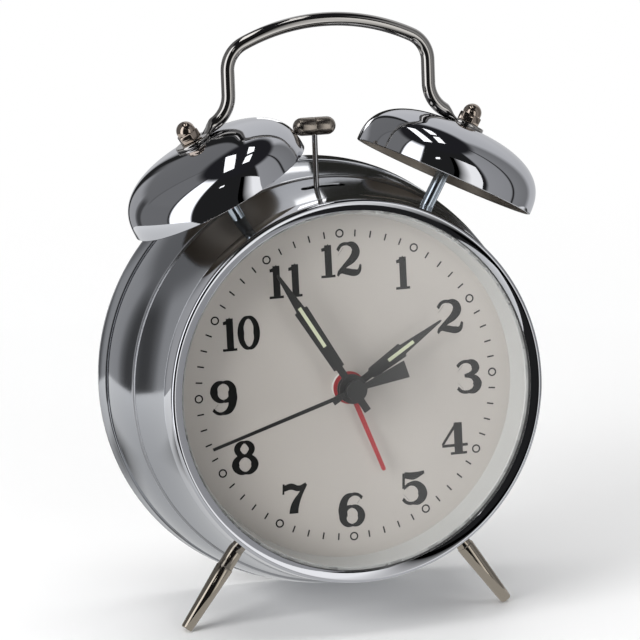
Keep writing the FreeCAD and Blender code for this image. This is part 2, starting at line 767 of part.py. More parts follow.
# Hammer
def hammer_stem():
    """The spring-steel wire from the lever to the head."""
    bottom = PIVOT_Z + HUB_RADIUS
    return Part.makeCylinder(STEM_RADIUS, HAMMER_Z - bottom, FreeCAD.Vector(HAMMER_X, HARDWARE_Y, bottom), UP)


def hammer_head():
    """The capsule that strikes both bells, grooved where the wire enters."""
    half = HEAD_LENGTH / 2 - HEAD_RADIUS
    along = FreeCAD.Vector(1, 0, 0)
    start = FreeCAD.Vector(HAMMER_X - half, HARDWARE_Y, HAMMER_Z)
    head = Part.makeCylinder(HEAD_RADIUS, 2 * half, start, along)
    for side in (-1, 1):
        head = head.fuse(Part.makeSphere(HEAD_RADIUS, FreeCAD.Vector(HAMMER_X + side * half, HARDWARE_Y, HAMMER_Z)))
    groove_start = FreeCAD.Vector(HAMMER_X - HEAD_GROOVE / 2, HARDWARE_Y, HAMMER_Z)
    groove = Part.makeCylinder(HEAD_RADIUS + 1, HEAD_GROOVE, groove_start, along)
    groove = groove.cut(Part.makeCylinder(HEAD_RADIUS - 0.25, HEAD_GROOVE, groove_start, along))
    return head.removeSplitter().cut(groove).cut(hammer_stem())


def hammer_lever():
    """The moulded lever on the pivot pin, with a socket for the stem and an arm for the armature."""
    hub = rod(HUB_RADIUS, HUB_FRONT_Y, HUB_BACK_Y, HAMMER_X, PIVOT_Z)
    boss = rod(HUB_RADIUS - 1, HUB_BACK_Y, FRAME_Y - 0.2, HAMMER_X, PIVOT_Z)
    half = ARM_HEIGHT / 2
    arm = block(HAMMER_X - ARM_REACH, HAMMER_X, HUB_FRONT_Y + 0.2, HUB_BACK_Y - 0.2, PIVOT_Z - half, PIVOT_Z + half)
    width = STEM_RADIUS + 1
    socket = block(HAMMER_X - width, HAMMER_X + width, HUB_FRONT_Y, HUB_BACK_Y, PIVOT_Z, PIVOT_Z + 2 * HUB_RADIUS)
    lever = hub.fuse(boss).fuse(arm).fuse(socket).removeSplitter()
    bore = rod(PIVOT_PIN_RADIUS + RUNNING_CLEARANCE, HUB_FRONT_Y - 1, FRAME_Y, HAMMER_X, PIVOT_Z)
    return lever.cut(bore).cut(hammer_stem())


def hammer_armature():
    """The soft iron plate that the striker coil pulls."""
    left = HAMMER_X - ARM_REACH
    bottom = PIVOT_Z + ARM_HEIGHT / 2
    return block(left, left + ARMATURE_LENGTH, HARDWARE_Y - HUB_RADIUS, HARDWARE_Y + HUB_RADIUS,
                 bottom, bottom + ARMATURE_THICKNESS)


def hammer_pivot_pin():
    """The pin riveted in the striker frame."""
    pin = rod(PIVOT_PIN_RADIUS, HUB_FRONT_Y - 0.9, FRAME_Y + FRAME_THICKNESS, HAMMER_X, PIVOT_Z)
    back = FRAME_Y + FRAME_THICKNESS
    return pin.fuse(rod(PIVOT_PIN_RADIUS + 0.8, back, back + 0.6, HAMMER_X, PIVOT_Z))


def pivot_clip():
    """The retaining ring in front of the lever."""
    front = HUB_FRONT_Y - 0.6
    ring = rod(PIVOT_PIN_RADIUS + 1.2, front, front + 0.5, HAMMER_X, PIVOT_Z)
    return ring.cut(rod(PIVOT_PIN_RADIUS, front, front + 0.5, HAMMER_X, PIVOT_Z))


def spring_anchor_x():
    """The left face of the post that carries the return spring."""
    return HAMMER_X + SPRING_DISTANCE


def hammer_return_spring():
    """A leaf of spring steel that pushes the stem back towards the left bell."""
    outer = spring_anchor_x()
    inner = outer - SPRING_THICKNESS
    touch = HAMMER_X + STEM_RADIUS + COVER_GAP
    leaf = SPRING_THICKNESS
    foot = PIVOT_Z - 1.5
    points = [
        (outer, foot), (outer, foot + 6.0), (touch + leaf, foot + 11.0), (touch + leaf, foot + 13.5),
        (touch, foot + 13.5), (touch, foot + 11.0 - leaf), (inner, foot + 6.0 - leaf), (inner, foot),
    ]
    half = SPRING_WIDTH / 2
    return plate(points, HARDWARE_Y - half, HARDWARE_Y + half)


def striker_frame():
    """The steel plate that carries the pivot, the coil and the spring, on two posts."""
    back = FRAME_Y + FRAME_THICKNESS
    left_post, right_post = striker_post_places()[1], striker_post_places()[0]
    upper = block(left_post[0] - 3, right_post[0] + 3, FRAME_Y, back, left_post[1] - 3, FRAME_TOP_Z)
    lower = block(HAMMER_X - 4.5, spring_anchor_x() + 2.5, FRAME_Y, back, PIVOT_Z - 4, FRAME_TOP_Z)
    frame = upper.fuse(lower)
    for x, z in (left_post, right_post):
        frame = frame.fuse(rod(FRAME_POST_RADIUS + 1, FRAME_Y, back, x, z))
    frame = frame.common(rod(FRAME_CLIP_RADIUS, FRAME_Y, back)).removeSplitter()
    window = block(COIL_X - 3, COIL_X + 3, FRAME_Y - 1, back + 1, POLE_Z + 1.5, POLE_Z + 6.5)
    frame = frame.cut(window)
    flange = block(COIL_X - COIL_RADIUS, COIL_X + COIL_RADIUS, HARDWARE_Y - 4, FRAME_Y + FRAME_THICKNESS,
                   FRAME_TOP_Z - 1.4, FRAME_TOP_Z)
    frame = frame.fuse(flange)
    for x, z in (left_post, right_post):
        frame = frame.fuse(rod(FRAME_POST_RADIUS, LEDGE_BACK_Y, FRAME_Y, x, z))
        frame = frame.cut(rod(SMALL_SCREW_RADIUS + 0.1, LEDGE_BACK_Y - 1, back + 1, x, z))
    anchor = spring_anchor_x()
    half = SPRING_WIDTH / 2
    post = block(anchor, anchor + 2, HARDWARE_Y - half, FRAME_Y, PIVOT_Z - 2, PIVOT_Z + 3)
    frame = frame.fuse(post)
    frame = frame.cut(rod(PIVOT_PIN_RADIUS, FRAME_Y - 1, back + 1, HAMMER_X, PIVOT_Z))
    core = Part.makeCylinder(CORE_RADIUS, 3, FreeCAD.Vector(COIL_X, HARDWARE_Y, FRAME_TOP_Z - 2), UP)
    return frame.cut(core).removeSplitter()


def striker_core():
    """The coil's soft iron core, riveted in the frame's flange."""
    return Part.makeCylinder(CORE_RADIUS, FRAME_TOP_Z - POLE_Z, FreeCAD.Vector(COIL_X, HARDWARE_Y, POLE_Z), UP)


def striker_coil():
    """The bobbin with its winding."""
    bottom = POLE_Z + 0.6
    top = FRAME_TOP_Z - 1.4
    place = FreeCAD.Vector(COIL_X, HARDWARE_Y, bottom)
    coil = Part.makeCylinder(COIL_WINDING_RADIUS, top - bottom, place, UP)
    for flange in (bottom, top - 0.8):
        coil = coil.fuse(Part.makeCylinder(COIL_RADIUS, 0.8, FreeCAD.Vector(COIL_X, HARDWARE_Y, flange), UP))
    return coil.cut(Part.makeCylinder(CORE_RADIUS, top - bottom, place, UP))


def striker_screws():
    """Two long screws through the frame's posts into the ledge."""
    back = FRAME_Y + FRAME_THICKNESS
    screws = []
    for x, z in striker_post_places():
        screws.append(tapped_screw(SMALL_SCREW_RADIUS, SMALL_HEAD_RADIUS, SMALL_HEAD_HEIGHT, back, DIAL_BACK_Y, x, z))
    return Part.Compound(screws)


# Movement
def setting_place(side):
    """The axis of a setting knob: side 1 sets the time, side -1 sets the alarm."""
    return side * SETTING_DISTANCE, 0.0


def pivot_holes(front, back):
    """Bearings for the thin arbors of the going train."""
    radius = THIN_ARBOR_RADIUS + RUNNING_CLEARANCE
    fifth_z = FIFTH_DISTANCE
    rotor_z = FIFTH_DISTANCE + ROTOR_DISTANCE
    return rod(radius, front, back, 0, fifth_z).fuse(rod(radius, front, back, 0, rotor_z))


def movement_front_housing():
    """The open moulded box behind the dial, with its threaded bush and two ears."""
    front = DIAL_BACK_Y
    wall = BOX_WALL
    box = block(-BOX_HALF_WIDTH, BOX_HALF_WIDTH, front, LID_Y, BOX_BOTTOM_Z, BOX_TOP_Z)
    hollow = block(-BOX_HALF_WIDTH + wall, BOX_HALF_WIDTH - wall, front + wall, LID_Y,
                   BOX_BOTTOM_Z + wall, BOX_TOP_Z - wall)
    box = box.cut(hollow)
    for side in (-1, 1):
        inner = side * (BOX_HALF_WIDTH - wall / 2)
        outer = side * EAR_REACH
        ear = block(min(inner, outer), max(inner, outer), LEDGE_BACK_Y, LEDGE_BACK_Y + EAR_THICKNESS,
                    -EAR_HALF_HEIGHT, EAR_HALF_HEIGHT)
        box = box.fuse(ear)
        box = box.cut(rod(SMALL_SCREW_RADIUS + 0.1, 0, LEDGE_BACK_Y + 5, side * EAR_SCREW_X, 0))
        x, z = setting_place(side)
        box = box.cut(rod(KNOB_SHAFT_RADIUS / 2 + RUNNING_CLEARANCE, front + 0.5, front + wall, x, z))
        ledge_x = side * (BOX_HALF_WIDTH - wall - 2)
        shelf = block(min(ledge_x, inner), max(ledge_x, inner), front + wall, TRAIN_PLATE_Y,
                      TRAIN_PLATE_BOTTOM_Z + 6, TRAIN_PLATE_BOTTOM_Z + 10)
        box = box.fuse(shelf)
    box = box.fuse(rod(BUSH_RADIUS, -2.0, front + wall))
    box = box.cut(rod(ALARM_PIPE_RADIUS + RUNNING_CLEARANCE, -3, front + wall + 1))
    third = rod(THIN_ARBOR_RADIUS + RUNNING_CLEARANCE, front + 0.5, front + wall + 1, 0, -THIRD_DISTANCE)
    return box.cut(third).removeSplitter()


def movement_rear_housing():
    """The movement's lid, with the rear bearings."""
    lid = block(-BOX_HALF_WIDTH, BOX_HALF_WIDTH, LID_Y, LID_Y + LID_THICKNESS, BOX_BOTTOM_Z, BOX_TOP_Z)
    for side in (-1, 1):
        x, z = setting_place(side)
        lid = lid.cut(rod(KNOB_SHAFT_RADIUS + RUNNING_CLEARANCE, LID_Y - 1, LID_Y + LID_THICKNESS + 1, x, z))
    bearing_end = LID_Y + 0.8
    lid = lid.cut(rod(SECOND_ARBOR_RADIUS + RUNNING_CLEARANCE, LID_Y - 1, bearing_end))
    lid = lid.cut(rod(THIN_ARBOR_RADIUS + RUNNING_CLEARANCE, LID_Y - 1, bearing_end, 0, -THIRD_DISTANCE))
    return lid.cut(pivot_holes(LID_Y - 1, bearing_end))


def movement_screws():
    """Two screws through the movement's ears into the ledge."""
    screws = []
    for side in (-1, 1):
        screws.append(tapped_screw(SMALL_SCREW_RADIUS, SMALL_HEAD_RADIUS, SMALL_HEAD_HEIGHT,
                                   LEDGE_BACK_Y + EAR_THICKNESS, DIAL_BACK_Y, side * EAR_SCREW_X, 0))
    return Part.Compound(screws)


def train_plate():
    """The middle plate with the front bearings of the rotor and the fifth wheel."""
    half = BOX_HALF_WIDTH - BOX_WALL
    plate_back = TRAIN_PLATE_Y + TRAIN_PLATE_THICKNESS
    top = BOX_TOP_Z - BOX_WALL
    bridge = block(-half, half, TRAIN_PLATE_Y, plate_back, TRAIN_PLATE_BOTTOM_Z, top)
    return bridge.cut(pivot_holes(TRAIN_PLATE_Y - 1, plate_back + 1))


def rotor():
    """The magnet and its pinion on one thin arbor."""
    z = FIFTH_DISTANCE + ROTOR_DISTANCE
    module = gear_module(ROTOR_DISTANCE, ROTOR_PINION_TEETH, FIFTH_TEETH)
    pinion = gear(ROTOR_PINION_TEETH, module, FIFTH_WHEEL_Y - 0.2, MAGNET_Y, 0, z, -90, False)
    magnet = rod(MAGNET_RADIUS, MAGNET_Y, MAGNET_Y + MAGNET_LENGTH, 0, z)
    arbor = rod(THIN_ARBOR_RADIUS, TRAIN_PLATE_Y + 0.3, LID_Y + 0.6, 0, z)
    return pinion.fuse(magnet).fuse(arbor)


def fifth_wheel():
    """The wheel between the rotor and the second wheel."""
    z = FIFTH_DISTANCE
    module = gear_module(ROTOR_DISTANCE, ROTOR_PINION_TEETH, FIFTH_TEETH)
    wheel = gear(FIFTH_TEETH, module, FIFTH_WHEEL_Y, FIFTH_WHEEL_Y + THIN_WHEEL, 0, z, 90, True)
    module = gear_module(FIFTH_DISTANCE, FIFTH_PINION_TEETH, SECOND_TEETH)
    pinion = gear(FIFTH_PINION_TEETH, module, SECOND_WHEEL_Y - 0.3, FIFTH_WHEEL_Y, 0, z, -90, False)
    arbor = rod(THIN_ARBOR_RADIUS, TRAIN_PLATE_Y + 0.3, LID_Y + 0.6, 0, z)
    return wheel.fuse(pinion).fuse(arbor)


def second_wheel():
    """The second wheel, its pinion and the long arbor that carries the second hand."""
    module = gear_module(FIFTH_DISTANCE, FIFTH_PINION_TEETH, SECOND_TEETH)
    wheel = gear(SECOND_TEETH, module, SECOND_WHEEL_Y, SECOND_WHEEL_Y + THIN_WHEEL, 0, 0, 90, True)
    module = gear_module(THIRD_DISTANCE, SECOND_PINION_TEETH, THIRD_TEETH)
    pinion = gear(SECOND_PINION_TEETH, module, THIRD_WHEEL_Y - 0.2, SECOND_WHEEL_Y, 0, 0, -90, False)
    arbor = rod(SECOND_ARBOR_RADIUS, SECOND_HAND_Y - 0.4, LID_Y + 0.6)
    return wheel.fuse(pinion).fuse(arbor)


def third_wheel():
    """The wheel between the second wheel and the centre wheel."""
    z = -THIRD_DISTANCE
    module = gear_module(THIRD_DISTANCE, SECOND_PINION_TEETH, THIRD_TEETH)
    wheel = gear(THIRD_TEETH, module, THIRD_WHEEL_Y, THIRD_WHEEL_Y + THIN_WHEEL, 0, z, 90, True)
    module = gear_module(THIRD_DISTANCE, THIRD_PINION_TEETH, CENTRE_TEETH)
    pinion = gear(THIRD_PINION_TEETH, module, CENTRE_WHEEL_Y - 0.2, THIRD_WHEEL_Y, 0, z, 90, False)
    arbor = rod(THIN_ARBOR_RADIUS, DIAL_BACK_Y + 0.7, LID_Y + 0.6, 0, z)
    return wheel.fuse(pinion).fuse(arbor)


def centre_wheel():
    """The wheel that slips on the minute pipe when the time is set."""
    module = gear_module(THIRD_DISTANCE, THIRD_PINION_TEETH, CENTRE_TEETH)
    back = CENTRE_WHEEL_Y + WHEEL_THICKNESS
    wheel = gear(CENTRE_TEETH, module, CENTRE_WHEEL_Y, back, 0, 0, -90, True)
    return wheel.cut(rod(MINUTE_PIPE_RADIUS + RUNNING_CLEARANCE, CENTRE_WHEEL_Y - 1, back + 1))


def minute_pipe():
    """The cannon pinion and the pipe that carries the minute hand."""
    module = gear_module(SETTING_DISTANCE, CANNON_TEETH, MOTION_TEETH)
    pinion = gear(CANNON_TEETH, module, CANNON_Y, CANNON_Y + WHEEL_THICKNESS + 0.2, 0, 0, 0, False)
    back = CENTRE_WHEEL_Y + WHEEL_THICKNESS + 0.2
    pipe = rod(MINUTE_PIPE_RADIUS, MINUTE_HAND_Y, back)
    return pinion.fuse(pipe).cut(rod(SECOND_ARBOR_RADIUS + RUNNING_CLEARANCE, MINUTE_HAND_Y - 1, back + 1))


def setting_shaft(side):
    """A knob's shaft, from its front pivot to the knob."""
    x, z = setting_place(side)
    front = DIAL_BACK_Y + 0.7
    shoulder = DIAL_BACK_Y + BOX_WALL + 0.2
    back = COVER_BACK_Y + KNOB_GAP + KNOB_LENGTH - 1.5
    return rod(KNOB_SHAFT_RADIUS / 2, front, shoulder, x, z).fuse(rod(KNOB_SHAFT_RADIUS, shoulder, back, x, z))


def motion_wheel():
    """The motion work's wheel and pinion on the time knob's shaft."""
    x, z = setting_place(1)
    module = gear_module(SETTING_DISTANCE, CANNON_TEETH, MOTION_TEETH)
    wheel = gear(MOTION_TEETH, module, CANNON_Y, CANNON_Y + WHEEL_THICKNESS, x, z, 180, True)
    module = gear_module(SETTING_DISTANCE, MOTION_PINION_TEETH, HOUR_TEETH)
    pinion = gear(MOTION_PINION_TEETH, module, HOUR_WHEEL_Y - 0.1, CANNON_Y, x, z, 180, False)
    return wheel.fuse(pinion).fuse(setting_shaft(1))


def hour_wheel():
    """The hour wheel and its pipe."""
    module = gear_module(SETTING_DISTANCE, MOTION_PINION_TEETH, HOUR_TEETH)
    back = HOUR_WHEEL_Y + WHEEL_THICKNESS
    wheel = gear(HOUR_TEETH, module, HOUR_WHEEL_Y, back, 0, 0, 0, True)
    pipe = rod(HOUR_PIPE_RADIUS, HOUR_HAND_Y, back)
    return wheel.fuse(pipe).cut(rod(MINUTE_PIPE_RADIUS + RUNNING_CLEARANCE, HOUR_HAND_Y - 1, back + 1))


def alarm_wheel():
    """The alarm wheel and its pipe."""
    module = gear_module(SETTING_DISTANCE, ALARM_TEETH, ALARM_PINION_TEETH)
    back = ALARM_WHEEL_Y + WHEEL_THICKNESS
    wheel = gear(ALARM_TEETH, module, ALARM_WHEEL_Y, back, 0, 0, 180, True)
    pipe = rod(ALARM_PIPE_RADIUS, ALARM_HAND_Y, back)
    return wheel.fuse(pipe).cut(rod(HOUR_PIPE_RADIUS + RUNNING_CLEARANCE, ALARM_HAND_Y - 1, back + 1))


def alarm_setting_arbor():
    """The alarm knob's shaft with its pinion."""
    x, z = setting_place(-1)
    module = gear_module(SETTING_DISTANCE, ALARM_TEETH, ALARM_PINION_TEETH)
    pinion = gear(ALARM_PINION_TEETH, module, ALARM_WHEEL_Y, ALARM_WHEEL_Y + WHEEL_THICKNESS, x, z, 0, False)
    return pinion.fuse(setting_shaft(-1))


def stator_arm_reach():
    """The stator's arms lie just outside the drive coil."""
    return DRIVE_COIL_HALF_LENGTH + 1


def stator_plate():
    """The soft iron plate that carries the coil's field round the magnet."""
    back = STATOR_Y + STATOR_THICKNESS
    rotor_z = FIFTH_DISTANCE + ROTOR_DISTANCE
    reach = stator_arm_reach() + 2.5
    ring = rod(MAGNET_RADIUS + 1.6, STATOR_Y, back, 0, rotor_z)
    yoke = block(-reach, reach, STATOR_Y, back, rotor_z - 1.5, rotor_z + 1.5)
    stator = ring.fuse(yoke)
    for side in (-1, 1):
        inner = side * stator_arm_reach()
        outer = side * reach
        arm = block(min(inner, outer), max(inner, outer), STATOR_Y, back, rotor_z - 1.5, DRIVE_COIL_Z + 1.2)
        stator = stator.fuse(arm)
    return stator.cut(rod(MAGNET_RADIUS + 0.3, STATOR_Y - 1, back + 1, 0, rotor_z)).removeSplitter()


def coil_core():
    """The coil's flat iron core, lying on the stator's arms."""
    front = STATOR_Y + STATOR_THICKNESS
    reach = stator_arm_reach() + 2.5
    return block(-reach, reach, front, front + STATOR_THICKNESS, DRIVE_COIL_Z - 1.2, DRIVE_COIL_Z + 1.2)


def drive_coil():
    """The going coil on its bobbin."""
    middle = STATOR_Y + 1.5 * STATOR_THICKNESS
    along = FreeCAD.Vector(1, 0, 0)
    half = DRIVE_COIL_HALF_LENGTH
    coil = Part.makeCylinder(DRIVE_COIL_RADIUS - 0.4, 2 * half, FreeCAD.Vector(-half, middle, DRIVE_COIL_Z), along)
    for end in (-half, half - 0.8):
        flange = Part.makeCylinder(DRIVE_COIL_RADIUS, 0.8, FreeCAD.Vector(end, middle, DRIVE_COIL_Z), along)
        coil = coil.fuse(flange)
    return coil.cut(coil_core())


def control_board():
    """The circuit board on the back of the movement, with its sealed chip."""
    front = LID_Y + LID_THICKNESS
    board = block(-BOARD_HALF_WIDTH, BOARD_HALF_WIDTH, front, front + BOARD_THICKNESS, BOARD_BOTTOM_Z, BOARD_TOP_Z)
    chip = rod(3.0, front + BOARD_THICKNESS, front + BOARD_THICKNESS + 0.9, 0, (BOARD_BOTTOM_Z + BOARD_TOP_Z) / 2)
    return board.fuse(chip)


# Hands
def turned_to(shape, degrees):
    """Turn a hand drawn at twelve to its hour, clockwise as seen from the front."""
    hand = shape.copy()
    hand.rotate(CENTRE, BACK, degrees)
    return hand


def hour_angle():
    return 30.0 * (TIME_HOURS + (TIME_MINUTES + TIME_SECONDS / 60.0) / 60.0)


def minute_angle():
    return 6.0 * (TIME_MINUTES + TIME_SECONDS / 60.0)


def second_angle():
    return 6.0 * TIME_SECONDS


def alarm_angle():
    return 30.0 * ALARM_HOURS


def stepped_outline(steps, reach, half_width):
    """A hand's outline from shares of its reach and half width, up one side and mirrored down the other."""
    right = [(half_width * wide, reach * far) for far, wide in steps]
    left = [(-x, z) for x, z in reversed(right) if x > 0]
    return right + left


def lume_strip(shares, reach, front):
    """The luminous filling of a hand's window, between two shares of the hand's reach."""
    half = LUME_WIDTH / 2
    start, end = shares
    return block(-half, half, front, front + HAND_THICKNESS, start * reach, end * reach)


MINUTE_STEPS = [(-0.189, 0.5), (0.187, 0.5), (0.197, 0.825), (0.663, 1.0), (0.679, 0.725), (1.0, 0.0)]
HOUR_STEPS = [(-0.204, 0.476), (0.211, 0.476), (0.243, 0.762), (0.543, 1.0), (0.562, 0.738), (1.0, 0.0)]
SECOND_STEPS = [(-0.365, 1.0), (-0.07, 0.306), (0.07, 0.224), (1.0, 0.163)]
ALARM_STEPS = [(0.0, 1.0), (0.984, 0.786), (1.0, 0.429)]
MINUTE_WINDOW = (0.376, 0.715)
HOUR_WINDOW = (0.409, 0.69)


def minute_hand():
    """The black stepped minute hand with its window."""
    back = MINUTE_HAND_Y + HAND_THICKNESS
    hand = plate(stepped_outline(MINUTE_STEPS, MINUTE_REACH, MINUTE_HALF_WIDTH), MINUTE_HAND_Y, back)
    hand = hand.fuse(rod(HAND_HUB_RADIUS, MINUTE_HAND_Y, back))
    hand = hand.cut(lume_strip(MINUTE_WINDOW, MINUTE_REACH, MINUTE_HAND_Y))
    hand = hand.cut(rod(MINUTE_PIPE_RADIUS, MINUTE_HAND_Y - 1, back + 1))
    return turned_to(hand.removeSplitter(), minute_angle())


def minute_lume():
    return turned_to(lume_strip(MINUTE_WINDOW, MINUTE_REACH, MINUTE_HAND_Y), minute_angle())


def hour_hand():
    """The black stepped hour hand with its window."""
    back = HOUR_HAND_Y + HAND_THICKNESS
    hand = plate(stepped_outline(HOUR_STEPS, HOUR_REACH, HOUR_HALF_WIDTH), HOUR_HAND_Y, back)
    hand = hand.fuse(rod(HAND_HUB_RADIUS, HOUR_HAND_Y, back))
    hand = hand.cut(lume_strip(HOUR_WINDOW, HOUR_REACH, HOUR_HAND_Y))
    hand = hand.cut(rod(HOUR_PIPE_RADIUS, HOUR_HAND_Y - 1, back + 1))
    return turned_to(hand.removeSplitter(), hour_angle())


def hour_lume():
    return turned_to(lume_strip(HOUR_WINDOW, HOUR_REACH, HOUR_HAND_Y), hour_angle())


def second_hand():
    """The thin second hand with its paddle tail and its cap."""
    back = SECOND_HAND_Y + HAND_THICKNESS
    hand = plate(stepped_outline(SECOND_STEPS, SECOND_REACH, SECOND_HALF_WIDTH), SECOND_HAND_Y, back)
    hand = hand.fuse(rod(SECOND_HUB_RADIUS, HUB_CAP_FRONT_Y, back))
    return turned_to(hand.cut(rod(SECOND_ARBOR_RADIUS, SECOND_HAND_Y - 0.4, back + 1)), second_angle())


def alarm_hand():
    """The short red alarm hand on its disc."""
    back = ALARM_HAND_Y + HAND_THICKNESS
    hand = plate(stepped_outline(ALARM_STEPS, ALARM_REACH, ALARM_HALF_WIDTH), ALARM_HAND_Y, back)
    hand = hand.fuse(rod(ALARM_HUB_RADIUS, ALARM_HAND_Y, back))
    return turned_to(hand.cut(rod(ALARM_PIPE_RADIUS, ALARM_HAND_Y - 1, back + 1)), alarm_angle())


# Rear cover and what is behind it
def cover_screw_angles():
    """Three screws, one at the top and two low at the sides."""
    return [90, 210, 330]


def cover_screw_place(angle):
    turn = math.radians(angle)
    return COVER_SCREW_REACH * math.cos(turn), COVER_SCREW_REACH * math.sin(turn)


def bay_half_height():
    return CELL_RADIUS + 0.15


def door_top_z():
    return CELL_Z + bay_half_height() + 2.0


def door_bottom_z():
    return CELL_Z - bay_half_height() - 2.0


def rear_cover():
    """The black moulded cover, with the battery bay behind it and the door's recess in its face."""
    radius = REAR_RIM_RADIUS - CASE_WALL - COVER_GAP - 0.3
    cover = rod(radius, COVER_FRONT_Y, COVER_BACK_Y)
    height = bay_half_height()
    bay = block(-BAY_HALF_LENGTH - BAY_WALL, BAY_HALF_LENGTH + BAY_WALL, BAY_FRONT_Y, COVER_FRONT_Y,
                CELL_Z - height - BAY_WALL, CELL_Z + height + BAY_WALL)
    cover = cover.fuse(bay)
    hollow = block(-BAY_HALF_LENGTH, BAY_HALF_LENGTH, BAY_FRONT_Y + BAY_WALL, COVER_BACK_Y + 1,
                   CELL_Z - height, CELL_Z + height)
    cover = cover.cut(hollow)
    floor = COVER_BACK_Y - DOOR_THICKNESS - 0.03
    gap = 0.2
    width = DOOR_HALF_WIDTH + gap
    recess = block(-width, width, floor, COVER_BACK_Y + 1, door_bottom_z() - DOOR_TRAVEL - gap, door_top_z() + gap)
    groove = width + DOOR_TONGUE
    rails = block(-groove, groove, floor + 0.2, floor + 0.7, door_bottom_z() - DOOR_TRAVEL - gap, door_top_z() + gap)
    cover = cover.cut(recess.fuse(rails))
    for side in (-1, 1):
        x, z = setting_place(side)
        cover = cover.cut(rod(KNOB_SHAFT_RADIUS + 0.3, COVER_FRONT_Y - 1, COVER_BACK_Y + 1, x, z))
        tail = side * (BAY_HALF_LENGTH - 0.4)
        cover = cover.cut(block(tail - 0.5, tail + 0.5, BAY_FRONT_Y - 1, BAY_FRONT_Y + BAY_WALL + 0.1,
                                CELL_Z + 3, CELL_Z + 5.5))
    for angle in cover_screw_angles():
        x, z = cover_screw_place(angle)
        cover = cover.cut(rod(COVER_SCREW_RADIUS + 0.2, COVER_FRONT_Y - 1, COVER_BACK_Y + 1, x, z))
    half = (SWITCH_THUMB_WIDTH + SWITCH_TRAVEL) / 2 + 0.2
    cover = cover.cut(block(-half, half, COVER_FRONT_Y - 1, COVER_BACK_Y + 1, SWITCH_Z - 1.7, SWITCH_Z + 1.7))
    reach = half + 3.5
    for side in (-1, 1):
        inner = SWITCH_Z + side * 4.2
        rail = block(-reach, reach, COVER_FRONT_Y - 2.6, COVER_FRONT_Y, min(inner, inner + side),
                     max(inner, inner + side))
        lip = block(-reach, reach, COVER_FRONT_Y - 2.6, COVER_FRONT_Y - 1.6, min(inner - side, inner + side),
                    max(inner - side, inner + side))
        cover = cover.fuse(rail).fuse(lip)
    return cover.removeSplitter()


def cover_screws():
    """Three cross-head screws that hold the rear cover to the lugs."""
    screws = []
    for angle in cover_screw_angles():
        x, z = cover_screw_place(angle)
        screws.append(tapped_screw(COVER_SCREW_RADIUS, COVER_HEAD_RADIUS, COVER_HEAD_HEIGHT,
                                   COVER_BACK_Y, COVER_FRONT_Y - 3, x, z))
    return Part.Compound(screws)


def battery_door():
    """The sliding door over the cell, with tongues in the cover's grooves and finger ribs."""
    floor = COVER_BACK_Y - DOOR_THICKNESS
    door = block(-DOOR_HALF_WIDTH, DOOR_HALF_WIDTH, floor, COVER_BACK_Y, door_bottom_z(), door_top_z())
    reach = DOOR_HALF_WIDTH + DOOR_TONGUE
    tongues = block(-reach, reach, floor + 0.25, floor + 0.6, door_bottom_z() + 1, door_top_z() - 1)
    door = door.fuse(tongues)
    for row in range(4):
        z = CELL_Z - 4.5 + row * 3.0
        door = door.fuse(block(-5, 5, COVER_BACK_Y - 0.2, COVER_BACK_Y + 0.5, z - 0.4, z + 0.4))
    return door.removeSplitter()


def battery_cell():
    """The round 1.5 volt cell, with its raised end."""
    middle = BAY_FRONT_Y + BAY_WALL + CELL_RADIUS + 0.15
    half = CELL_LENGTH / 2
    along = FreeCAD.Vector(1, 0, 0)
    cell = Part.makeCylinder(CELL_RADIUS, CELL_LENGTH - 1, FreeCAD.Vector(-half, middle, CELL_Z), along)
    return cell.fuse(Part.makeCylinder(2.75, 1, FreeCAD.Vector(half - 1, middle, CELL_Z), along))


def battery_contacts():
    """Two plated strips at the ends of the bay: a flat one and a bowed one."""
    middle = BAY_FRONT_Y + BAY_WALL + CELL_RADIUS
    low = CELL_Z - 3.0
    high = CELL_Z + 5.0
    wall = BAY_HALF_LENGTH
    front = BAY_FRONT_Y - 1.8
    flat = block(wall - 0.8, wall - 0.05, front, middle + 4, CELL_Z + 3.2, high + 0.3)
    face = block(wall - 0.8, wall - 0.05, BAY_FRONT_Y + BAY_WALL + 0.2, middle + 4, low, high)
    plus = flat.fuse(face).removeSplitter()
    minus = mirrored(plus)
    end = CELL_LENGTH / 2 + 0.05
    profile = [
        (-wall + 0.7, CELL_Z - 2.6), (-wall + 1.6, CELL_Z - 1.0), (-end, CELL_Z - 0.6), (-end, CELL_Z + 0.6),
        (-wall + 1.6, CELL_Z + 1.0), (-wall + 0.7, CELL_Z + 2.6),
    ]
    bow = plate(profile, middle - 2.5, middle + 2.5)
    return Part.Compound([plus, minus.fuse(bow)])


def alarm_switch():
    """The slider that turns the alarm on and off, held behind the cover by two lips."""
    left = -SWITCH_TRAVEL / 2 - SWITCH_THUMB_WIDTH / 2
    right = left + SWITCH_THUMB_WIDTH
    foot_front = COVER_FRONT_Y - 1.5
    foot = block(left - 3, right + 3, foot_front, COVER_FRONT_Y - 0.05, SWITCH_Z - 4.1, SWITCH_Z + 4.1)
    thumb = block(left, right, foot_front, COVER_BACK_Y + 1.2, SWITCH_Z - 1.5, SWITCH_Z + 1.5)
    slider = foot.fuse(thumb)
    for rib in range(3):
        x = left + 1.3 + rib * 1.2
        slider = slider.cut(block(x - 0.2, x + 0.2, COVER_BACK_Y + 0.7, COVER_BACK_Y + 2, SWITCH_Z - 2, SWITCH_Z + 2))
    return slider


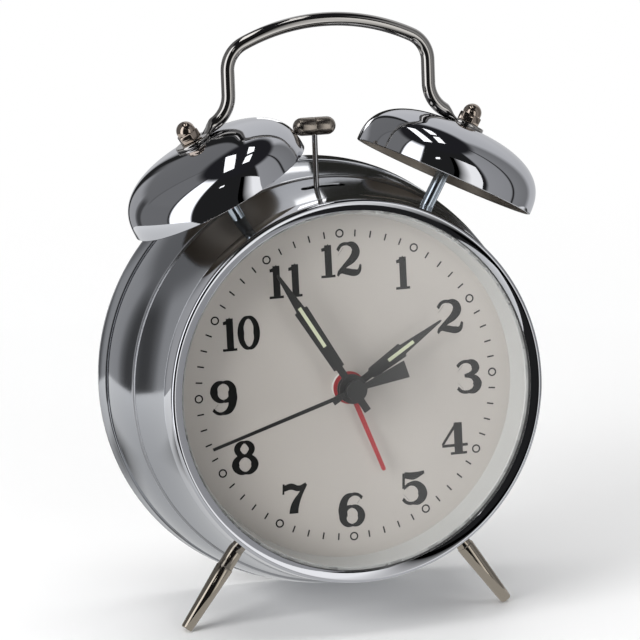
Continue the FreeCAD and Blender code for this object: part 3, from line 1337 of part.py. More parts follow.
def setting_knob(side):
    """A ribbed knob pressed on its shaft."""
    x, z = setting_place(side)
    front = COVER_BACK_Y + KNOB_GAP
    back = front + KNOB_LENGTH
    knob = rod(KNOB_RADIUS, front, back, x, z)
    for grip in range(KNOB_GRIPS):
        angle = 2 * math.pi * grip / KNOB_GRIPS
        reach = KNOB_RADIUS + 0.25
        cut_x = x + reach * math.cos(angle)
        cut_z = z + reach * math.sin(angle)
        knob = knob.cut(rod(0.6, front - 1, back + 1, cut_x, cut_z))
    return knob.cut(setting_shaft(side))


def time_knob():
    return setting_knob(1)


def alarm_knob():
    return setting_knob(-1)


def lead(points, radius):
    """A wire of straight runs joined by arcs as large as the runs allow."""
    corners = [FreeCAD.Vector(*point) for point in points]
    edges = []
    bends = []
    here = corners[0]
    for before, corner, after in zip(corners[:-2], corners[1:-1], corners[2:]):
        inward = (before - corner)
        outward = (after - corner)
        shorter = min(inward.Length, outward.Length)
        inward.normalize()
        outward.normalize()
        turn = math.pi - inward.getAngle(outward)
        tangent = 0.45 * shorter
        arc_radius = tangent / math.tan(turn / 2)
        bends.append(arc_radius)
        start = corner + inward * tangent
        end = corner + outward * tangent
        bisector = inward + outward
        bisector.normalize()
        centre = corner + bisector * math.hypot(tangent, arc_radius)
        middle = centre - bisector * arc_radius
        edges.append(Part.LineSegment(here, start).toShape())
        edges.append(Part.Arc(start, middle, end).toShape())
        here = end
    edges.append(Part.LineSegment(here, corners[-1]).toShape())
    path = Part.Wire(edges)
    direction = corners[1] - corners[0]
    section = Part.Wire([Part.Circle(corners[0], direction, radius).toShape()])
    wire = path.makePipeShell([section], True, False)
    share = wire.Volume / (math.pi * radius ** 2 * path.Length)
    print("lead bends", [round(bend, 1) for bend in bends], "volume by section and length", round(share, 4))
    return wire


def inner_leads():
    """Four insulated wires to the board: two from the battery contacts and two from the striker coil."""
    board = LID_Y + LID_THICKNESS + BOARD_THICKNESS
    leads = []
    for side in (-1, 1):
        x = side * (BAY_HALF_LENGTH - LEAD_RADIUS)
        y = BAY_FRONT_Y - 2 * LEAD_RADIUS
        contact = CELL_Z + 5.3
        bend = contact + LEAD_RISE
        pad_x = side * (BOARD_HALF_WIDTH - 3)
        low = BOARD_BOTTOM_Z + 4.5
        leads.append(lead([
            (x, y, contact), (x, y, bend), (side * BOX_HALF_WIDTH, y + 2.2, bend + LEAD_SWEEP - 8),
            (side * (BOARD_HALF_WIDTH + 4), board + LEAD_STANDOFF + 2, low - 6),
            (pad_x, board + LEAD_STANDOFF, low), (pad_x, board, low)], LEAD_RADIUS))
        coil_x = COIL_X + side * LEAD_SPLIT
        coil_y = HARDWARE_Y + COIL_WINDING_RADIUS
        coil_z = FRAME_TOP_Z - 4.8
        back = coil_y + LEAD_RUN
        pad_x = COIL_X / 2 + side * LEAD_SPLIT
        high = BOARD_TOP_Z - 3.5
        leads.append(lead([
            (coil_x, coil_y, coil_z), (coil_x, back, coil_z), (coil_x + 3, back + 7, coil_z - 8),
            (pad_x, back + 13, high + LEAD_STANDOFF),
            (pad_x, board + LEAD_STANDOFF, high), (pad_x, board, high)], LEAD_RADIUS))
    return Part.Compound(leads)


PIECES = [
    case_shell, front_bezel, crystal, dial_plate, dial_surround, rear_cover, cover_lugs, cover_screws,
    battery_door, bell_left, bell_right, bell_posts, bell_studs, cap_nuts, inner_nuts, carry_handle,
    leg_left, leg_right, hammer_head, hammer_stem, hammer_lever, hammer_armature, hammer_pivot_pin,
    pivot_clip, hammer_return_spring, striker_frame, striker_core, striker_coil, striker_screws,
    movement_front_housing, movement_rear_housing, movement_screws, train_plate, control_board,
    drive_coil, coil_core, stator_plate, rotor, fifth_wheel, second_wheel, third_wheel, centre_wheel,
    minute_pipe, motion_wheel, hour_wheel, alarm_wheel, alarm_setting_arbor, time_knob, alarm_knob,
    alarm_switch, battery_cell, battery_contacts, inner_leads, hour_hand, minute_hand, second_hand,
    alarm_hand, hour_lume, minute_lume,
]


def leaned(shape):
    """Lean a piece back about the drum's x axis."""
    placed = shape.copy()
    placed.rotate(CENTRE, FreeCAD.Vector(1, 0, 0), -lean_angle())
    return placed


def table_height():
    """How far the dial's centre is above the table."""
    lean = math.radians(lean_angle())
    return REAR_RIM_Y * math.sin(lean) + REAR_RIM_RADIUS * math.cos(lean)


def build():
    """Every piece, leaned back, with the origin under the middle of the whole clock."""
    solids = {}
    for piece in PIECES:
        solids[piece.__name__] = leaned(piece())
    box = FreeCAD.BoundBox()
    for shape in solids.values():
        box.add(shape.optimalBoundingBox(False, False))
    shift = FreeCAD.Vector(-box.Center.x, -box.Center.y, table_height())
    for shape in solids.values():
        shape.translate(shift)
    return solids, shift


os.makedirs("parts", exist_ok=True)
SOLIDS, SHIFT = build()
for name, shape in SOLIDS.items():
    shape.exportStep("parts/" + name + ".step")
    state = "valid" if shape.isValid() else "INVALID"
    print(name, "solids", len(shape.Solids), state, "volume", round(shape.Volume, 2))
print("lean", round(lean_angle(), 3), "shift", [round(value, 3) for value in SHIFT])
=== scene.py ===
import bpy
import bmesh
import math
from mathutils import Matrix, Vector


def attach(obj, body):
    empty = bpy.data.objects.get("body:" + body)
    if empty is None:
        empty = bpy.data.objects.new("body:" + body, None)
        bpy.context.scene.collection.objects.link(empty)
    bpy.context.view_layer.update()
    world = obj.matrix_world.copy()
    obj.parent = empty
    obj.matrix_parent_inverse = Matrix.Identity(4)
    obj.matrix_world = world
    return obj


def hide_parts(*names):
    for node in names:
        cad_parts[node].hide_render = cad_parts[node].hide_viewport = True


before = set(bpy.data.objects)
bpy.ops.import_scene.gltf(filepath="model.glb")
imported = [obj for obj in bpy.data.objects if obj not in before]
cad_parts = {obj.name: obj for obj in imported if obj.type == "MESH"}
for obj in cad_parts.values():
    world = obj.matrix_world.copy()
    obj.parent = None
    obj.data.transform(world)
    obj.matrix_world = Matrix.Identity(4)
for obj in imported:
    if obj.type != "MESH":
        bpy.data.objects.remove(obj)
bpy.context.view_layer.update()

# The camera looks down a little on the dial from its left, through a long lens, as in the photo.
CAMERA_PLACE = (-0.35141, -1.15883, 0.42323)
CAMERA_AIM = (-0.00292, 0.00096, 0.08030)
CAMERA_ROLL = math.radians(0.37)
camera_data = bpy.data.cameras.new("camera")
camera_data.sensor_width = 36
camera_data.lens = 256.47
camera_data.clip_start = 0.05
camera_data.clip_end = 20
camera = bpy.data.objects.new("camera", camera_data)
camera.location = CAMERA_PLACE
sight = (Vector(CAMERA_AIM) - Vector(CAMERA_PLACE)).to_track_quat("-Z", "Y").to_matrix()
camera.rotation_euler = (sight @ Matrix.Rotation(CAMERA_ROLL, 3, "Z")).to_euler()
bpy.context.scene.collection.objects.link(camera)
bpy.context.scene.camera = camera


# The table: a pale sheet of paper that shows the clock's soft shadow and turns pure white further
# out. Its fine grain breaks up the shadow's edge.
def colour(code):
    """An sRGB hex colour as linear values."""
    channels = [int(code[i:i + 2], 16) / 255 for i in (1, 3, 5)]
    linear = [c / 12.92 if c <= 0.04045 else ((c + 0.055) / 1.055) ** 2.4 for c in channels]
    return (*linear, 1)


def material(name):
    """An empty node material: the material, its tree and its output node."""
    made = bpy.data.materials.new(name)
    made.use_nodes = True
    made.node_tree.nodes.clear()
    output = made.node_tree.nodes.new("ShaderNodeOutputMaterial")
    return made, made.node_tree, output


def add(tree, kind, settings=None, links=None, **values):
    """Adds a node: settings are its own properties, values its sockets, links come from other nodes."""
    node = tree.nodes.new("ShaderNode" + kind)
    for key, value in (settings or {}).items():
        setattr(node, key, value)
    for key, value in values.items():
        node.inputs[key.replace("_", " ")].default_value = value
    for key, source in (links or {}).items():
        tree.links.new(source, node.inputs[key])
    return node


def maths(tree, operation, first, second):
    """The result of a sum on two sockets or numbers."""
    node = add(tree, "Math", {"operation": operation})
    for slot, value in zip(node.inputs, (first, second)):
        if isinstance(value, float):
            slot.default_value = value
        else:
            tree.links.new(value, slot)
    return node.outputs[0]


def noise(tree, scale, detail, **more):
    """A noise pattern fixed to the object, with this many waves to the metre."""
    where = add(tree, "TexCoord").outputs["Object"]
    return add(tree, "TexNoise", links={"Vector": where}, Scale=scale, Detail=detail, **more).outputs["Fac"]


def relief(tree, pattern, strength, depth):
    """A pattern as shallow relief, its depth in metres."""
    return add(tree, "Bump", links={"Height": pattern}, Strength=strength, Distance=depth).outputs["Normal"]


def seen_directly(tree):
    """One for what the camera sees, also through the glass, and nothing for light that falls on things."""
    path = add(tree, "LightPath")
    return maths(tree, "MAXIMUM", path.outputs["Is Camera Ray"], path.outputs["Is Transmission Ray"])


def staged(name, bm, surface, hidden_from):
    """A studio object in metres, hidden from some kinds of rays."""
    mesh = bpy.data.meshes.new(name)
    bm.to_mesh(mesh)
    bm.free()
    mesh.materials.append(surface)
    thing = bpy.data.objects.new(name, mesh)
    bpy.context.scene.collection.objects.link(thing)
    for ray in hidden_from:
        setattr(thing, "visible_" + ray, False)


SHADOW_REACH = (0.12, 0.5)
sheet_paper, tree, output = material("matt_white_table_paper")
paper = add(tree, "BsdfPrincipled", links={"Normal": relief(tree, noise(tree, 900.0, 3.0), 0.05, 0.0002)},
            Base_Color=colour("#f2f2f2"), Roughness=0.8)
where = add(tree, "TexCoord")
away = add(tree, "VectorMath", {"operation": "LENGTH"}, {0: where.outputs["Object"]})
far = add(tree, "MapRange", {"interpolation_type": "SMOOTHSTEP"}, {"Value": away.outputs["Value"]},
          From_Min=SHADOW_REACH[0], From_Max=SHADOW_REACH[1])
white = add(tree, "Emission", Color=(1, 1, 1, 1), Strength=1.0)
sheet = add(tree, "MixShader", links={0: maths(tree, "MULTIPLY", far.outputs["Result"], seen_directly(tree)),
                                      1: paper.outputs["BSDF"], 2: white.outputs["Emission"]})
tree.links.new(sheet.outputs[0], output.inputs["Surface"])
table = bmesh.new()
bmesh.ops.create_circle(table, cap_ends=True, segments=96, radius=3.0)
staged("table_sheet", table, sheet_paper, ["glossy"])

# The light: a white surround at a low level, a tall window at the left that models the dial, weak
# lamps at the right and behind, and one overhead for the table. No lamp shows in the metal.
FILL = 0.18
world = bpy.data.worlds.new("white_surround")
bpy.context.scene.world = world
world.use_nodes = True
world.node_tree.nodes.clear()
tree = world.node_tree
lit = add(tree, "Background", Color=colour("#ffffff"), Strength=FILL)
white = add(tree, "Background", Color=colour("#ffffff"), Strength=1.0)
mixed = add(tree, "MixShader", links={0: seen_directly(tree), 1: lit.outputs[0], 2: white.outputs[0]})
world_out = tree.nodes.new("ShaderNodeOutputWorld")
tree.links.new(mixed.outputs[0], world_out.inputs["Surface"])


def softbox(name, place, aim, width, height, power):
    """A rectangular area lamp that points at a spot and stays out of reflections."""
    lamp = bpy.data.lights.new(name, "AREA")
    lamp.shape = "RECTANGLE"
    lamp.size = width
    lamp.size_y = height
    lamp.energy = power
    thing = bpy.data.objects.new(name, lamp)
    thing.location = place
    thing.rotation_euler = (Vector(aim) - Vector(place)).to_track_quat("-Z", "Y").to_euler()
    thing.visible_glossy = False
    bpy.context.scene.collection.objects.link(thing)


CLOCK_MIDDLE = (0, 0, 0.08)
softbox("window_left", (-1.29, -0.6, 0.6), CLOCK_MIDDLE, 0.8, 1.3, 25)
softbox("window_right", (0.45, -1.5, 0.9), CLOCK_MIDDLE, 0.9, 0.6, 3)
softbox("side_right", (1.5, -0.3, 0.6), CLOCK_MIDDLE, 0.8, 1.2, 2.5)
softbox("overhead", (0.0, 0.2, 1.6), (0, 0, 0), 1.6, 1.2, 16)
softbox("rear_fill", (0.5, 1.6, 0.8), CLOCK_MIDDLE, 1.0, 0.8, 8)

# What the metal mirrors: a grey room with a tall white window at the left of a dark corner where the
# camera stands, and dark gaps between its walls. Each stop is an azimuth in degrees, from 0 in front
# to +90 at the right, and a grey.
METAL_ONLY = ["camera", "diffuse", "shadow"]
ROOM_RADIUS = 2.6
DARK = 0.02
WINDOW = [(-84, DARK), (-82, DARK), (-81, 2.0), (-52, 1.8), (-50, DARK)]
RIGHT_WALLS = [(34, DARK), (38, 0.4), (74, 0.36), (75, DARK), (78, DARK), (79, 0.3), (108, 0.24)]
UPPER_WALLS = [(-177, DARK), (-176, 0.2), (-131, 0.2), (-130, 0.03), (-129, 0.22), (-86, 0.22)]
UPPER_WALLS += WINDOW + RIGHT_WALLS + [(120, 0.62), (176, 0.7), (178, DARK)]
LOWER_WALLS = [(-173, DARK), (-171, 0.42), (-150, 0.42), (-147, 0.2), (-142, 0.08), (-136, 0.08)]
LOWER_WALLS += [(-133, 0.21), (-86, 0.21)] + WINDOW + RIGHT_WALLS + [(120, 0.6), (178, 0.6), (180, DARK)]
room_paint, tree, output = material("painted_room")
where = add(tree, "TexCoord")
axes = add(tree, "SeparateXYZ", links={"Vector": where.outputs["Object"]})
front = maths(tree, "MULTIPLY", axes.outputs["Y"], -1.0)
level = add(tree, "MapRange", {"clamp": False}, {"Value": maths(tree, "ARCTAN2", axes.outputs["X"], front)},
            From_Min=-math.pi, From_Max=math.pi)


def walls(steps):
    """A colour ramp round the room, through stops of (azimuth, grey)."""
    ramp = add(tree, "ValToRGB", links={"Fac": level.outputs[0]})
    stops = ramp.color_ramp.elements
    stops.remove(stops[1])
    for count, (azimuth, grey) in enumerate(steps):
        stop = stops.new((azimuth + 180) / 360) if count else stops[0]
        stop.position = (azimuth + 180) / 360
        stop.color = (grey * 0.98, grey * 0.99, grey * 1.02, 1)
    return ramp.outputs["Color"]


lift = add(tree, "MapRange", {"interpolation_type": "SMOOTHSTEP"}, {"Value": axes.outputs["Z"]},
           From_Min=0.36, From_Max=0.8)
all_walls = add(tree, "MixRGB", links={"Fac": lift.outputs["Result"], "Color1": walls(LOWER_WALLS),
                                       "Color2": walls(UPPER_WALLS)})
rise = add(tree, "MapRange", {"interpolation_type": "SMOOTHSTEP"}, {"Value": axes.outputs["Z"]},
           From_Min=2.02, From_Max=2.24)
room_colour = add(tree, "MixRGB", links={"Fac": rise.outputs["Result"], "Color1": all_walls.outputs["Color"]},
                  Color2=(DARK, DARK, 0.023, 1))
glow = add(tree, "Emission", links={"Color": room_colour.outputs["Color"]}, Strength=1.0)
tree.links.new(glow.outputs["Emission"], output.inputs["Surface"])
room = bmesh.new()
bmesh.ops.create_uvsphere(room, u_segments=96, v_segments=48, radius=ROOM_RADIUS)
staged("studio_room", room, room_paint, METAL_ONLY)


def even_light(name, strength, tint=(1, 1, 1, 1)):
    """A surface of one brightness."""
    made, tree, output = material(name)
    light = add(tree, "Emission", Color=tint, Strength=strength)
    tree.links.new(light.outputs["Emission"], output.inputs["Surface"])
    return made


def reflector(name, surface, *corners):
    """A flat thing with these corners that only the metal and the glass mirror."""
    flat = bmesh.new()
    flat.faces.new([flat.verts.new(corner) for corner in corners])
    staged(name, flat, surface, METAL_ONLY)


# The white card is what veils the dial's right half in the glass. It fades towards its left edge. The
# skylights and the small pane are the bright windows in the bells. The flags darken the drum's top.
white_card, tree, output = material("white_reflector_card")
where = add(tree, "TexCoord")
axes = add(tree, "SeparateXYZ", links={"Vector": where.outputs["Object"]})
fade = add(tree, "MapRange", links={"Value": axes.outputs["X"]}, From_Min=0.03, From_Max=0.11, To_Max=1.25)
card = add(tree, "Emission", links={"Strength": fade.outputs["Result"]}, Color=(1, 1, 1, 1))
tree.links.new(card.outputs["Emission"], output.inputs["Surface"])
reflector("card_front", white_card,
          (0.0, -0.3, -0.06), (0.19, -0.3, -0.06), (0.19, -0.3, 0.3), (0.0, -0.3, 0.4))
CEILING = 1.65
lit_pane = even_light("lit_window_pane", 2.0)
black_flag = even_light("black_velvet_flag", 1.0, (0.025, 0.025, 0.022, 1))
for name, corners in (("skylight_left", [(-0.55, -0.35), (-0.25, -0.4), (-0.17, 0.55), (-0.36, 0.75)]),
                      ("skylight_right_front", [(0.0, -0.35), (0.22, -0.35), (0.25, 0.08), (0.06, 0.05)]),
                      ("skylight_right_rear", [(0.08, 0.2), (0.27, 0.22), (0.28, 0.5), (0.12, 0.65)])):
    reflector(name, lit_pane, *[(x, y, CEILING) for x, y in corners])
reflector("pane_small", lit_pane,
          (-0.6, -1.1, 0.95), (-0.44, -1.1, 0.95), (-0.44, -1.1, 1.06), (-0.6, -1.1, 1.06))
FLAG_LOW = [(-0.01, 0.1), (0.04, 0.1), (0.058, 0.085), (0.082, 0.085), (0.082, 0.108), (0.064, 0.117),
            (0.04, 0.1235), (-0.01, 0.1235)]
FLAG_HIGH = [(0.0165, 0.122), (0.06, 0.122), (0.06, 0.136), (0.03, 0.149), (0.0165, 0.151)]
PANE_REAR = [(0.0, 0.133), (0.016, 0.133), (0.016, 0.144), (0.0, 0.144)]
reflector("flag_low", black_flag, *[(x, 0.081, z) for x, z in FLAG_LOW])
reflector("flag_high", black_flag, *[(x, 0.08, z) for x, z in FLAG_HIGH])
reflector("pane_rear", lit_pane, *[(x, 0.08, z) for x, z in PANE_REAR])

# The mirrored table top glows paler further out. Nearer the clock, and behind it except far to the left, it
# is darker: this is painted shadow of the clock, since the glowing board takes no real shadow.
BOARD_RADIUS = 0.29
BOARD_HEIGHT = 0.0002
table_top, tree, output = material("pale_table_top")
where = add(tree, "TexCoord")
axes = add(tree, "SeparateXYZ", links={"Vector": where.outputs["Object"]})
reach = add(tree, "VectorMath", {"operation": "LENGTH"}, {0: where.outputs["Object"]})
# Painted shadow: the glow falls off towards the clock.
outwards = add(tree, "MapRange", links={"Value": reach.outputs["Value"]},
               From_Min=0.1, From_Max=BOARD_RADIUS, To_Min=0.62, To_Max=0.95)
# Painted shadow behind the clock, fading out towards the left.
backwards = add(tree, "MapRange", links={"Value": axes.outputs["Y"]}, From_Min=0.06, From_Max=0.1)
not_left = add(tree, "MapRange", links={"Value": axes.outputs["X"]},
               From_Min=-0.1, From_Max=-0.07, To_Max=0.95)
painted_shadow_behind = maths(tree, "MULTIPLY", backwards.outputs["Result"], not_left.outputs["Result"])
strength = maths(tree, "MULTIPLY", outwards.outputs["Result"], maths(tree, "SUBTRACT", 1.0, painted_shadow_behind))
board = add(tree, "Emission", links={"Strength": strength}, Color=(0.98, 0.99, 1, 1))
tree.links.new(board.outputs["Emission"], output.inputs["Surface"])
turns = [math.radians(6 * step) for step in range(46)]
rim = [(BOARD_RADIUS * math.cos(turn), BOARD_RADIUS * math.sin(turn)) for turn in turns]
reflector("studio_board", table_top, *[(x, y, BOARD_HEIGHT) for x, y in rim + [(0.0, -0.1), (0.27, -0.1)]])

# The drum: deep-drawn steel, chrome plated, with a waisted front, a crease, a bellied rear and a
# rolled rear rim. A flat ledge inside carries the dial, and the hammer's slot is punched in its top.
# It is drawn in mm, with the dial's front face in the plane y = 0 and the drum's axis along y.
LEAN = math.radians(8.436286563332104)
DRUM_PLACE = (0, -0.014935067878893793, 0.06556370349207661)
DRUM = Matrix.Translation(DRUM_PLACE) @ Matrix.Rotation(-LEAN, 4, "X") @ Matrix.Scale(0.001, 4)
UPRIGHT = Matrix.Rotation(math.radians(90), 4, "X")
HARDWARE_Y = 6.6


def arc(start, middle, end, count=12):
    """Points on the arc through three points, without the first."""
    (ax, ay), (bx, by), (cx, cy) = start, middle, end
    size = 2 * (ax * (by - cy) + bx * (cy - ay) + cx * (ay - by))
    a, b, c = ax * ax + ay * ay, bx * bx + by * by, cx * cx + cy * cy
    ux = (a * (by - cy) + b * (cy - ay) + c * (ay - by)) / size
    uy = (a * (cx - bx) + b * (ax - cx) + c * (bx - ax)) / size
    radius = math.hypot(ax - ux, ay - uy)
    first = math.atan2(ay - uy, ax - ux)
    via = (math.atan2(by - uy, bx - ux) - first) % (2 * math.pi)
    last = (math.atan2(cy - uy, cx - ux) - first) % (2 * math.pi)
    if via > last:
        last -= 2 * math.pi
    angles = [first + last * step / count for step in range(1, count + 1)]
    return [(ux + radius * math.cos(angle), uy + radius * math.sin(angle)) for angle in angles]


def finished(name, bm, place, surface, sharp, node, body):
    """Closes a mesh's seams, sets it in its place and hands it to the frame, for a node or as a new piece."""
    bmesh.ops.remove_doubles(bm, verts=bm.verts, dist=1e-5)
    bmesh.ops.dissolve_degenerate(bm, edges=bm.edges, dist=1e-6)
    bmesh.ops.recalc_face_normals(bm, faces=bm.faces)
    bmesh.ops.transform(bm, matrix=place, verts=bm.verts)
    mesh = bpy.data.meshes.new(name)
    bm.to_mesh(mesh)
    bm.free()
    mesh.shade_smooth()
    mesh.set_sharp_from_angle(angle=math.radians(sharp))
    mesh.materials.append(surface)
    thing = bpy.data.objects.new(name, mesh)
    bpy.context.scene.collection.objects.link(thing)
    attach(thing, body)
    if node:
        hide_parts(node)
    return thing


def turned(outline, steps=192, closed=True):
    """A mesh of an outline of (radius, y) points in mm, spun once round the y axis."""
    bm = bmesh.new()
    ring = [bm.verts.new((radius, y, 0)) for radius, y in outline]
    edges = [bm.edges.new(pair) for pair in zip(ring[:-1], ring[1:])]
    if closed:
        edges.append(bm.edges.new((ring[-1], ring[0])))
    bmesh.ops.spin(bm, geom=ring + edges, cent=(0, 0, 0), axis=(0, 1, 0), dvec=(0, 0, 0),
                   angle=2 * math.pi, steps=steps, use_merge=True, use_duplicate=False)
    return bm


def put_in(target, part):
    """Moves one mesh into another."""
    passing = bpy.data.meshes.new("passing")
    part.to_mesh(passing)
    part.free()
    target.from_mesh(passing)
    bpy.data.meshes.remove(passing)


def polished_metal(name, code, roughness, wave=0.00002):
    """Bright metal: the faint waves that polishing leaves, their depth in metres, and haze in patches."""
    made, tree, output = material(name)
    haze = noise(tree, 60.0, 4.0, Roughness=0.6)
    spread = add(tree, "MapRange", links={"Value": haze}, To_Min=roughness * 0.7, To_Max=roughness * 1.6)
    metal = add(tree, "BsdfPrincipled", links={"Roughness": spread.outputs["Result"],
                                               "Normal": relief(tree, noise(tree, 120.0, 1.0), 0.2, wave)},
                Base_Color=colour(code), Metallic=1.0)
    tree.links.new(metal.outputs["BSDF"], output.inputs["Surface"])
    return made


# The drum's plate is a little hazier than the bells', so its mirror images are soft bands. The crease
# is burnished by the drawing tool and scatters a thin streak of light.
drawn_chrome = polished_metal("drawn_and_plated_steel", "#b3b5b9", 0.1)
crease_metal = polished_metal("burnished_crease", "#a9aaad", 0.35, 0.00012)
WALL = 0.8
NECK, SHOULDER, CREASE, REAR_RIM = (52.2, -9.0), (53.27, -6.38), (56.35, 13.2), (59.9, 41.0)
BELLY = (56.8, 14.2)
LEDGE_INNER, LEDGE_OUTER, LEDGE_FRONT, LEDGE_BACK = 45.5, 53.4, 0.5, 1.3
drum_outside = [NECK, (52.2, -6.6), (52.35, -6.45), (53.2, -6.45), SHOULDER]
drum_outside += arc(SHOULDER, (54.35, 3.55), CREASE, 24)
drum_outside += arc(CREASE, (56.75, 13.6), BELLY, 6)
drum_outside += arc(BELLY, (58.52, 23.45), (59.2, 33.2), 24)
drum_outside += [(59.35, 33.4), (59.6, 33.4), (59.72, 33.55), (60.05, 38.6)]
drum_outside += arc((60.05, 38.6), (60.2, 39.6), REAR_RIM, 8)
drum_inside = [(radius - WALL, y) for radius, y in drum_outside]
drum_inside[-1] = (59.4, REAR_RIM[1])
drum = turned(drum_outside + drum_inside[::-1], 256)
put_in(drum, turned([(LEDGE_OUTER, LEDGE_FRONT), (LEDGE_INNER, LEDGE_FRONT), (LEDGE_INNER, LEDGE_BACK),
                     (LEDGE_OUTER, LEDGE_BACK)], 128))
for face in drum.faces:
    spot = face.calc_center_median()
    face.material_index = 1 if CREASE[1] < spot.y < BELLY[1] and math.hypot(spot.x, spot.z) > 56.3 else 0
case = finished("case_drum", drum, DRUM, drawn_chrome, 30, "case_shell", "clock")
case.data.materials.append(crease_metal)

SLOT_MIDDLE, SLOT_LENGTH, SLOT_WIDTH = -2.7, 12.6, 2.6
slot_cutter = bmesh.new()
bmesh.ops.create_cube(slot_cutter, size=1, matrix=Matrix.Translation((SLOT_MIDDLE, HARDWARE_Y, 54))
                      @ Matrix.Diagonal((SLOT_LENGTH, SLOT_WIDTH, 14, 1)))
upright_edges = [e for e in slot_cutter.edges if abs(e.verts[0].co.z - e.verts[1].co.z) > 1]
bmesh.ops.bevel(slot_cutter, geom=upright_edges, offset=SLOT_WIDTH / 2 - 0.01, segments=8, profile=0.5,
                affect="EDGES", material=-1)
bmesh.ops.transform(slot_cutter, matrix=DRUM, verts=slot_cutter.verts)
cutter_mesh = bpy.data.meshes.new("slot_punch")
slot_cutter.to_mesh(cutter_mesh)
slot_cutter.free()
cutter = bpy.data.objects.new("slot_punch", cutter_mesh)
bpy.context.scene.collection.objects.link(cutter)
punch = case.modifiers.new("slot", "BOOLEAN")
punch.operation = "DIFFERENCE"
punch.solver = "EXACT"
punch.object = cutter
cut_mesh = bpy.data.meshes.new_from_object(case.evaluated_get(bpy.context.evaluated_depsgraph_get()))
case.modifiers.clear()
case.data = cut_mesh
bpy.data.objects.remove(cutter)

# The dial: a flat aluminium disc, silk-screened grey, with the figures printed over it in black. The
# paint is satin, with a faint change of tone across the disc, and the ink is matt.
def tones(tree, pattern, low, high):
    """A pattern as a change of tone between two hex colours."""
    ramp = add(tree, "ValToRGB", links={"Fac": pattern})
    ramp.color_ramp.elements[0].color = colour(low)
    ramp.color_ramp.elements[1].color = colour(high)
    return ramp.outputs["Color"]


def dress(surface, *nodes):
    """Gives carried-over nodes their finish."""
    for node in nodes:
        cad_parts[node].data.materials.clear()
        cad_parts[node].data.materials.append(surface)


dial_ink, tree, output = material("black_screen_ink")
blots = tones(tree, noise(tree, 2500.0, 3.0), "#0a0a0a", "#151514")
ink = add(tree, "BsdfPrincipled", links={"Base Color": blots},
          Roughness=0.6, Specular_IOR_Level=0.25)
tree.links.new(ink.outputs["BSDF"], output.inputs["Surface"])

dial_paint, tree, output = material("satin_grey_dial_paint")
clouds = tones(tree, noise(tree, 25.0, 2.0), "#bcb7b1", "#c4bfb9")
specks = relief(tree, noise(tree, 4000.0, 4.0), 0.1, 0.00002)
paint = add(tree, "BsdfPrincipled", links={"Base Color": clouds, "Normal": specks},
            Roughness=0.42)
tree.links.new(paint.outputs["BSDF"], output.inputs["Surface"])
dress(dial_paint, "dial_plate")

# The figures are bold and upright, with a small open ring at each hour and short ticks for the
# minutes between. The print is turned a little against the case, as in the photo.
PRINT_TURN = math.radians(-0.77)
DIAL = DRUM @ Matrix.Translation((0.1, 0, 0.23)) @ Matrix.Rotation(PRINT_TURN, 4, "Y")
INK_FRONT, INK_FLATNESS = -0.02, 0.12
print_parts = bmesh.new()


def printed(strokes, width, height, x, z):
    """Prints pen strokes of (x, up, half width) on the dial: a round tube pressed almost flat."""
    for stroke in strokes:
        ring = stroke[0] == "ring"
        points = stroke[1:] if ring else stroke
        curve = bpy.data.curves.new("ink_stroke", "CURVE")
        curve.dimensions = "3D"
        curve.bevel_depth = 1.0
        curve.bevel_resolution = 3
        curve.resolution_u = 8
        curve.use_fill_caps = True
        spline = curve.splines.new("BEZIER")
        spline.bezier_points.add(len(points) - 1)
        spline.use_cyclic_u = ring
        for spot, (px, pz, half) in zip(spline.bezier_points, points):
            spot.co = (px, 0, pz)
            spot.radius = half
            spot.handle_left_type = spot.handle_right_type = "AUTO" if len(points) > 2 else "VECTOR"
        shape = bpy.data.objects.new("ink_stroke", curve)
        mesh = bpy.data.meshes.new_from_object(shape)
        mesh.transform(DIAL @ Matrix.Translation((x - width / 2, INK_FRONT, z - height / 2))
                       @ Matrix.Diagonal((width, INK_FLATNESS, height, 1)))
        print_parts.from_mesh(mesh)
        bpy.data.objects.remove(shape)
        bpy.data.meshes.remove(mesh)
        bpy.data.curves.remove(curve)


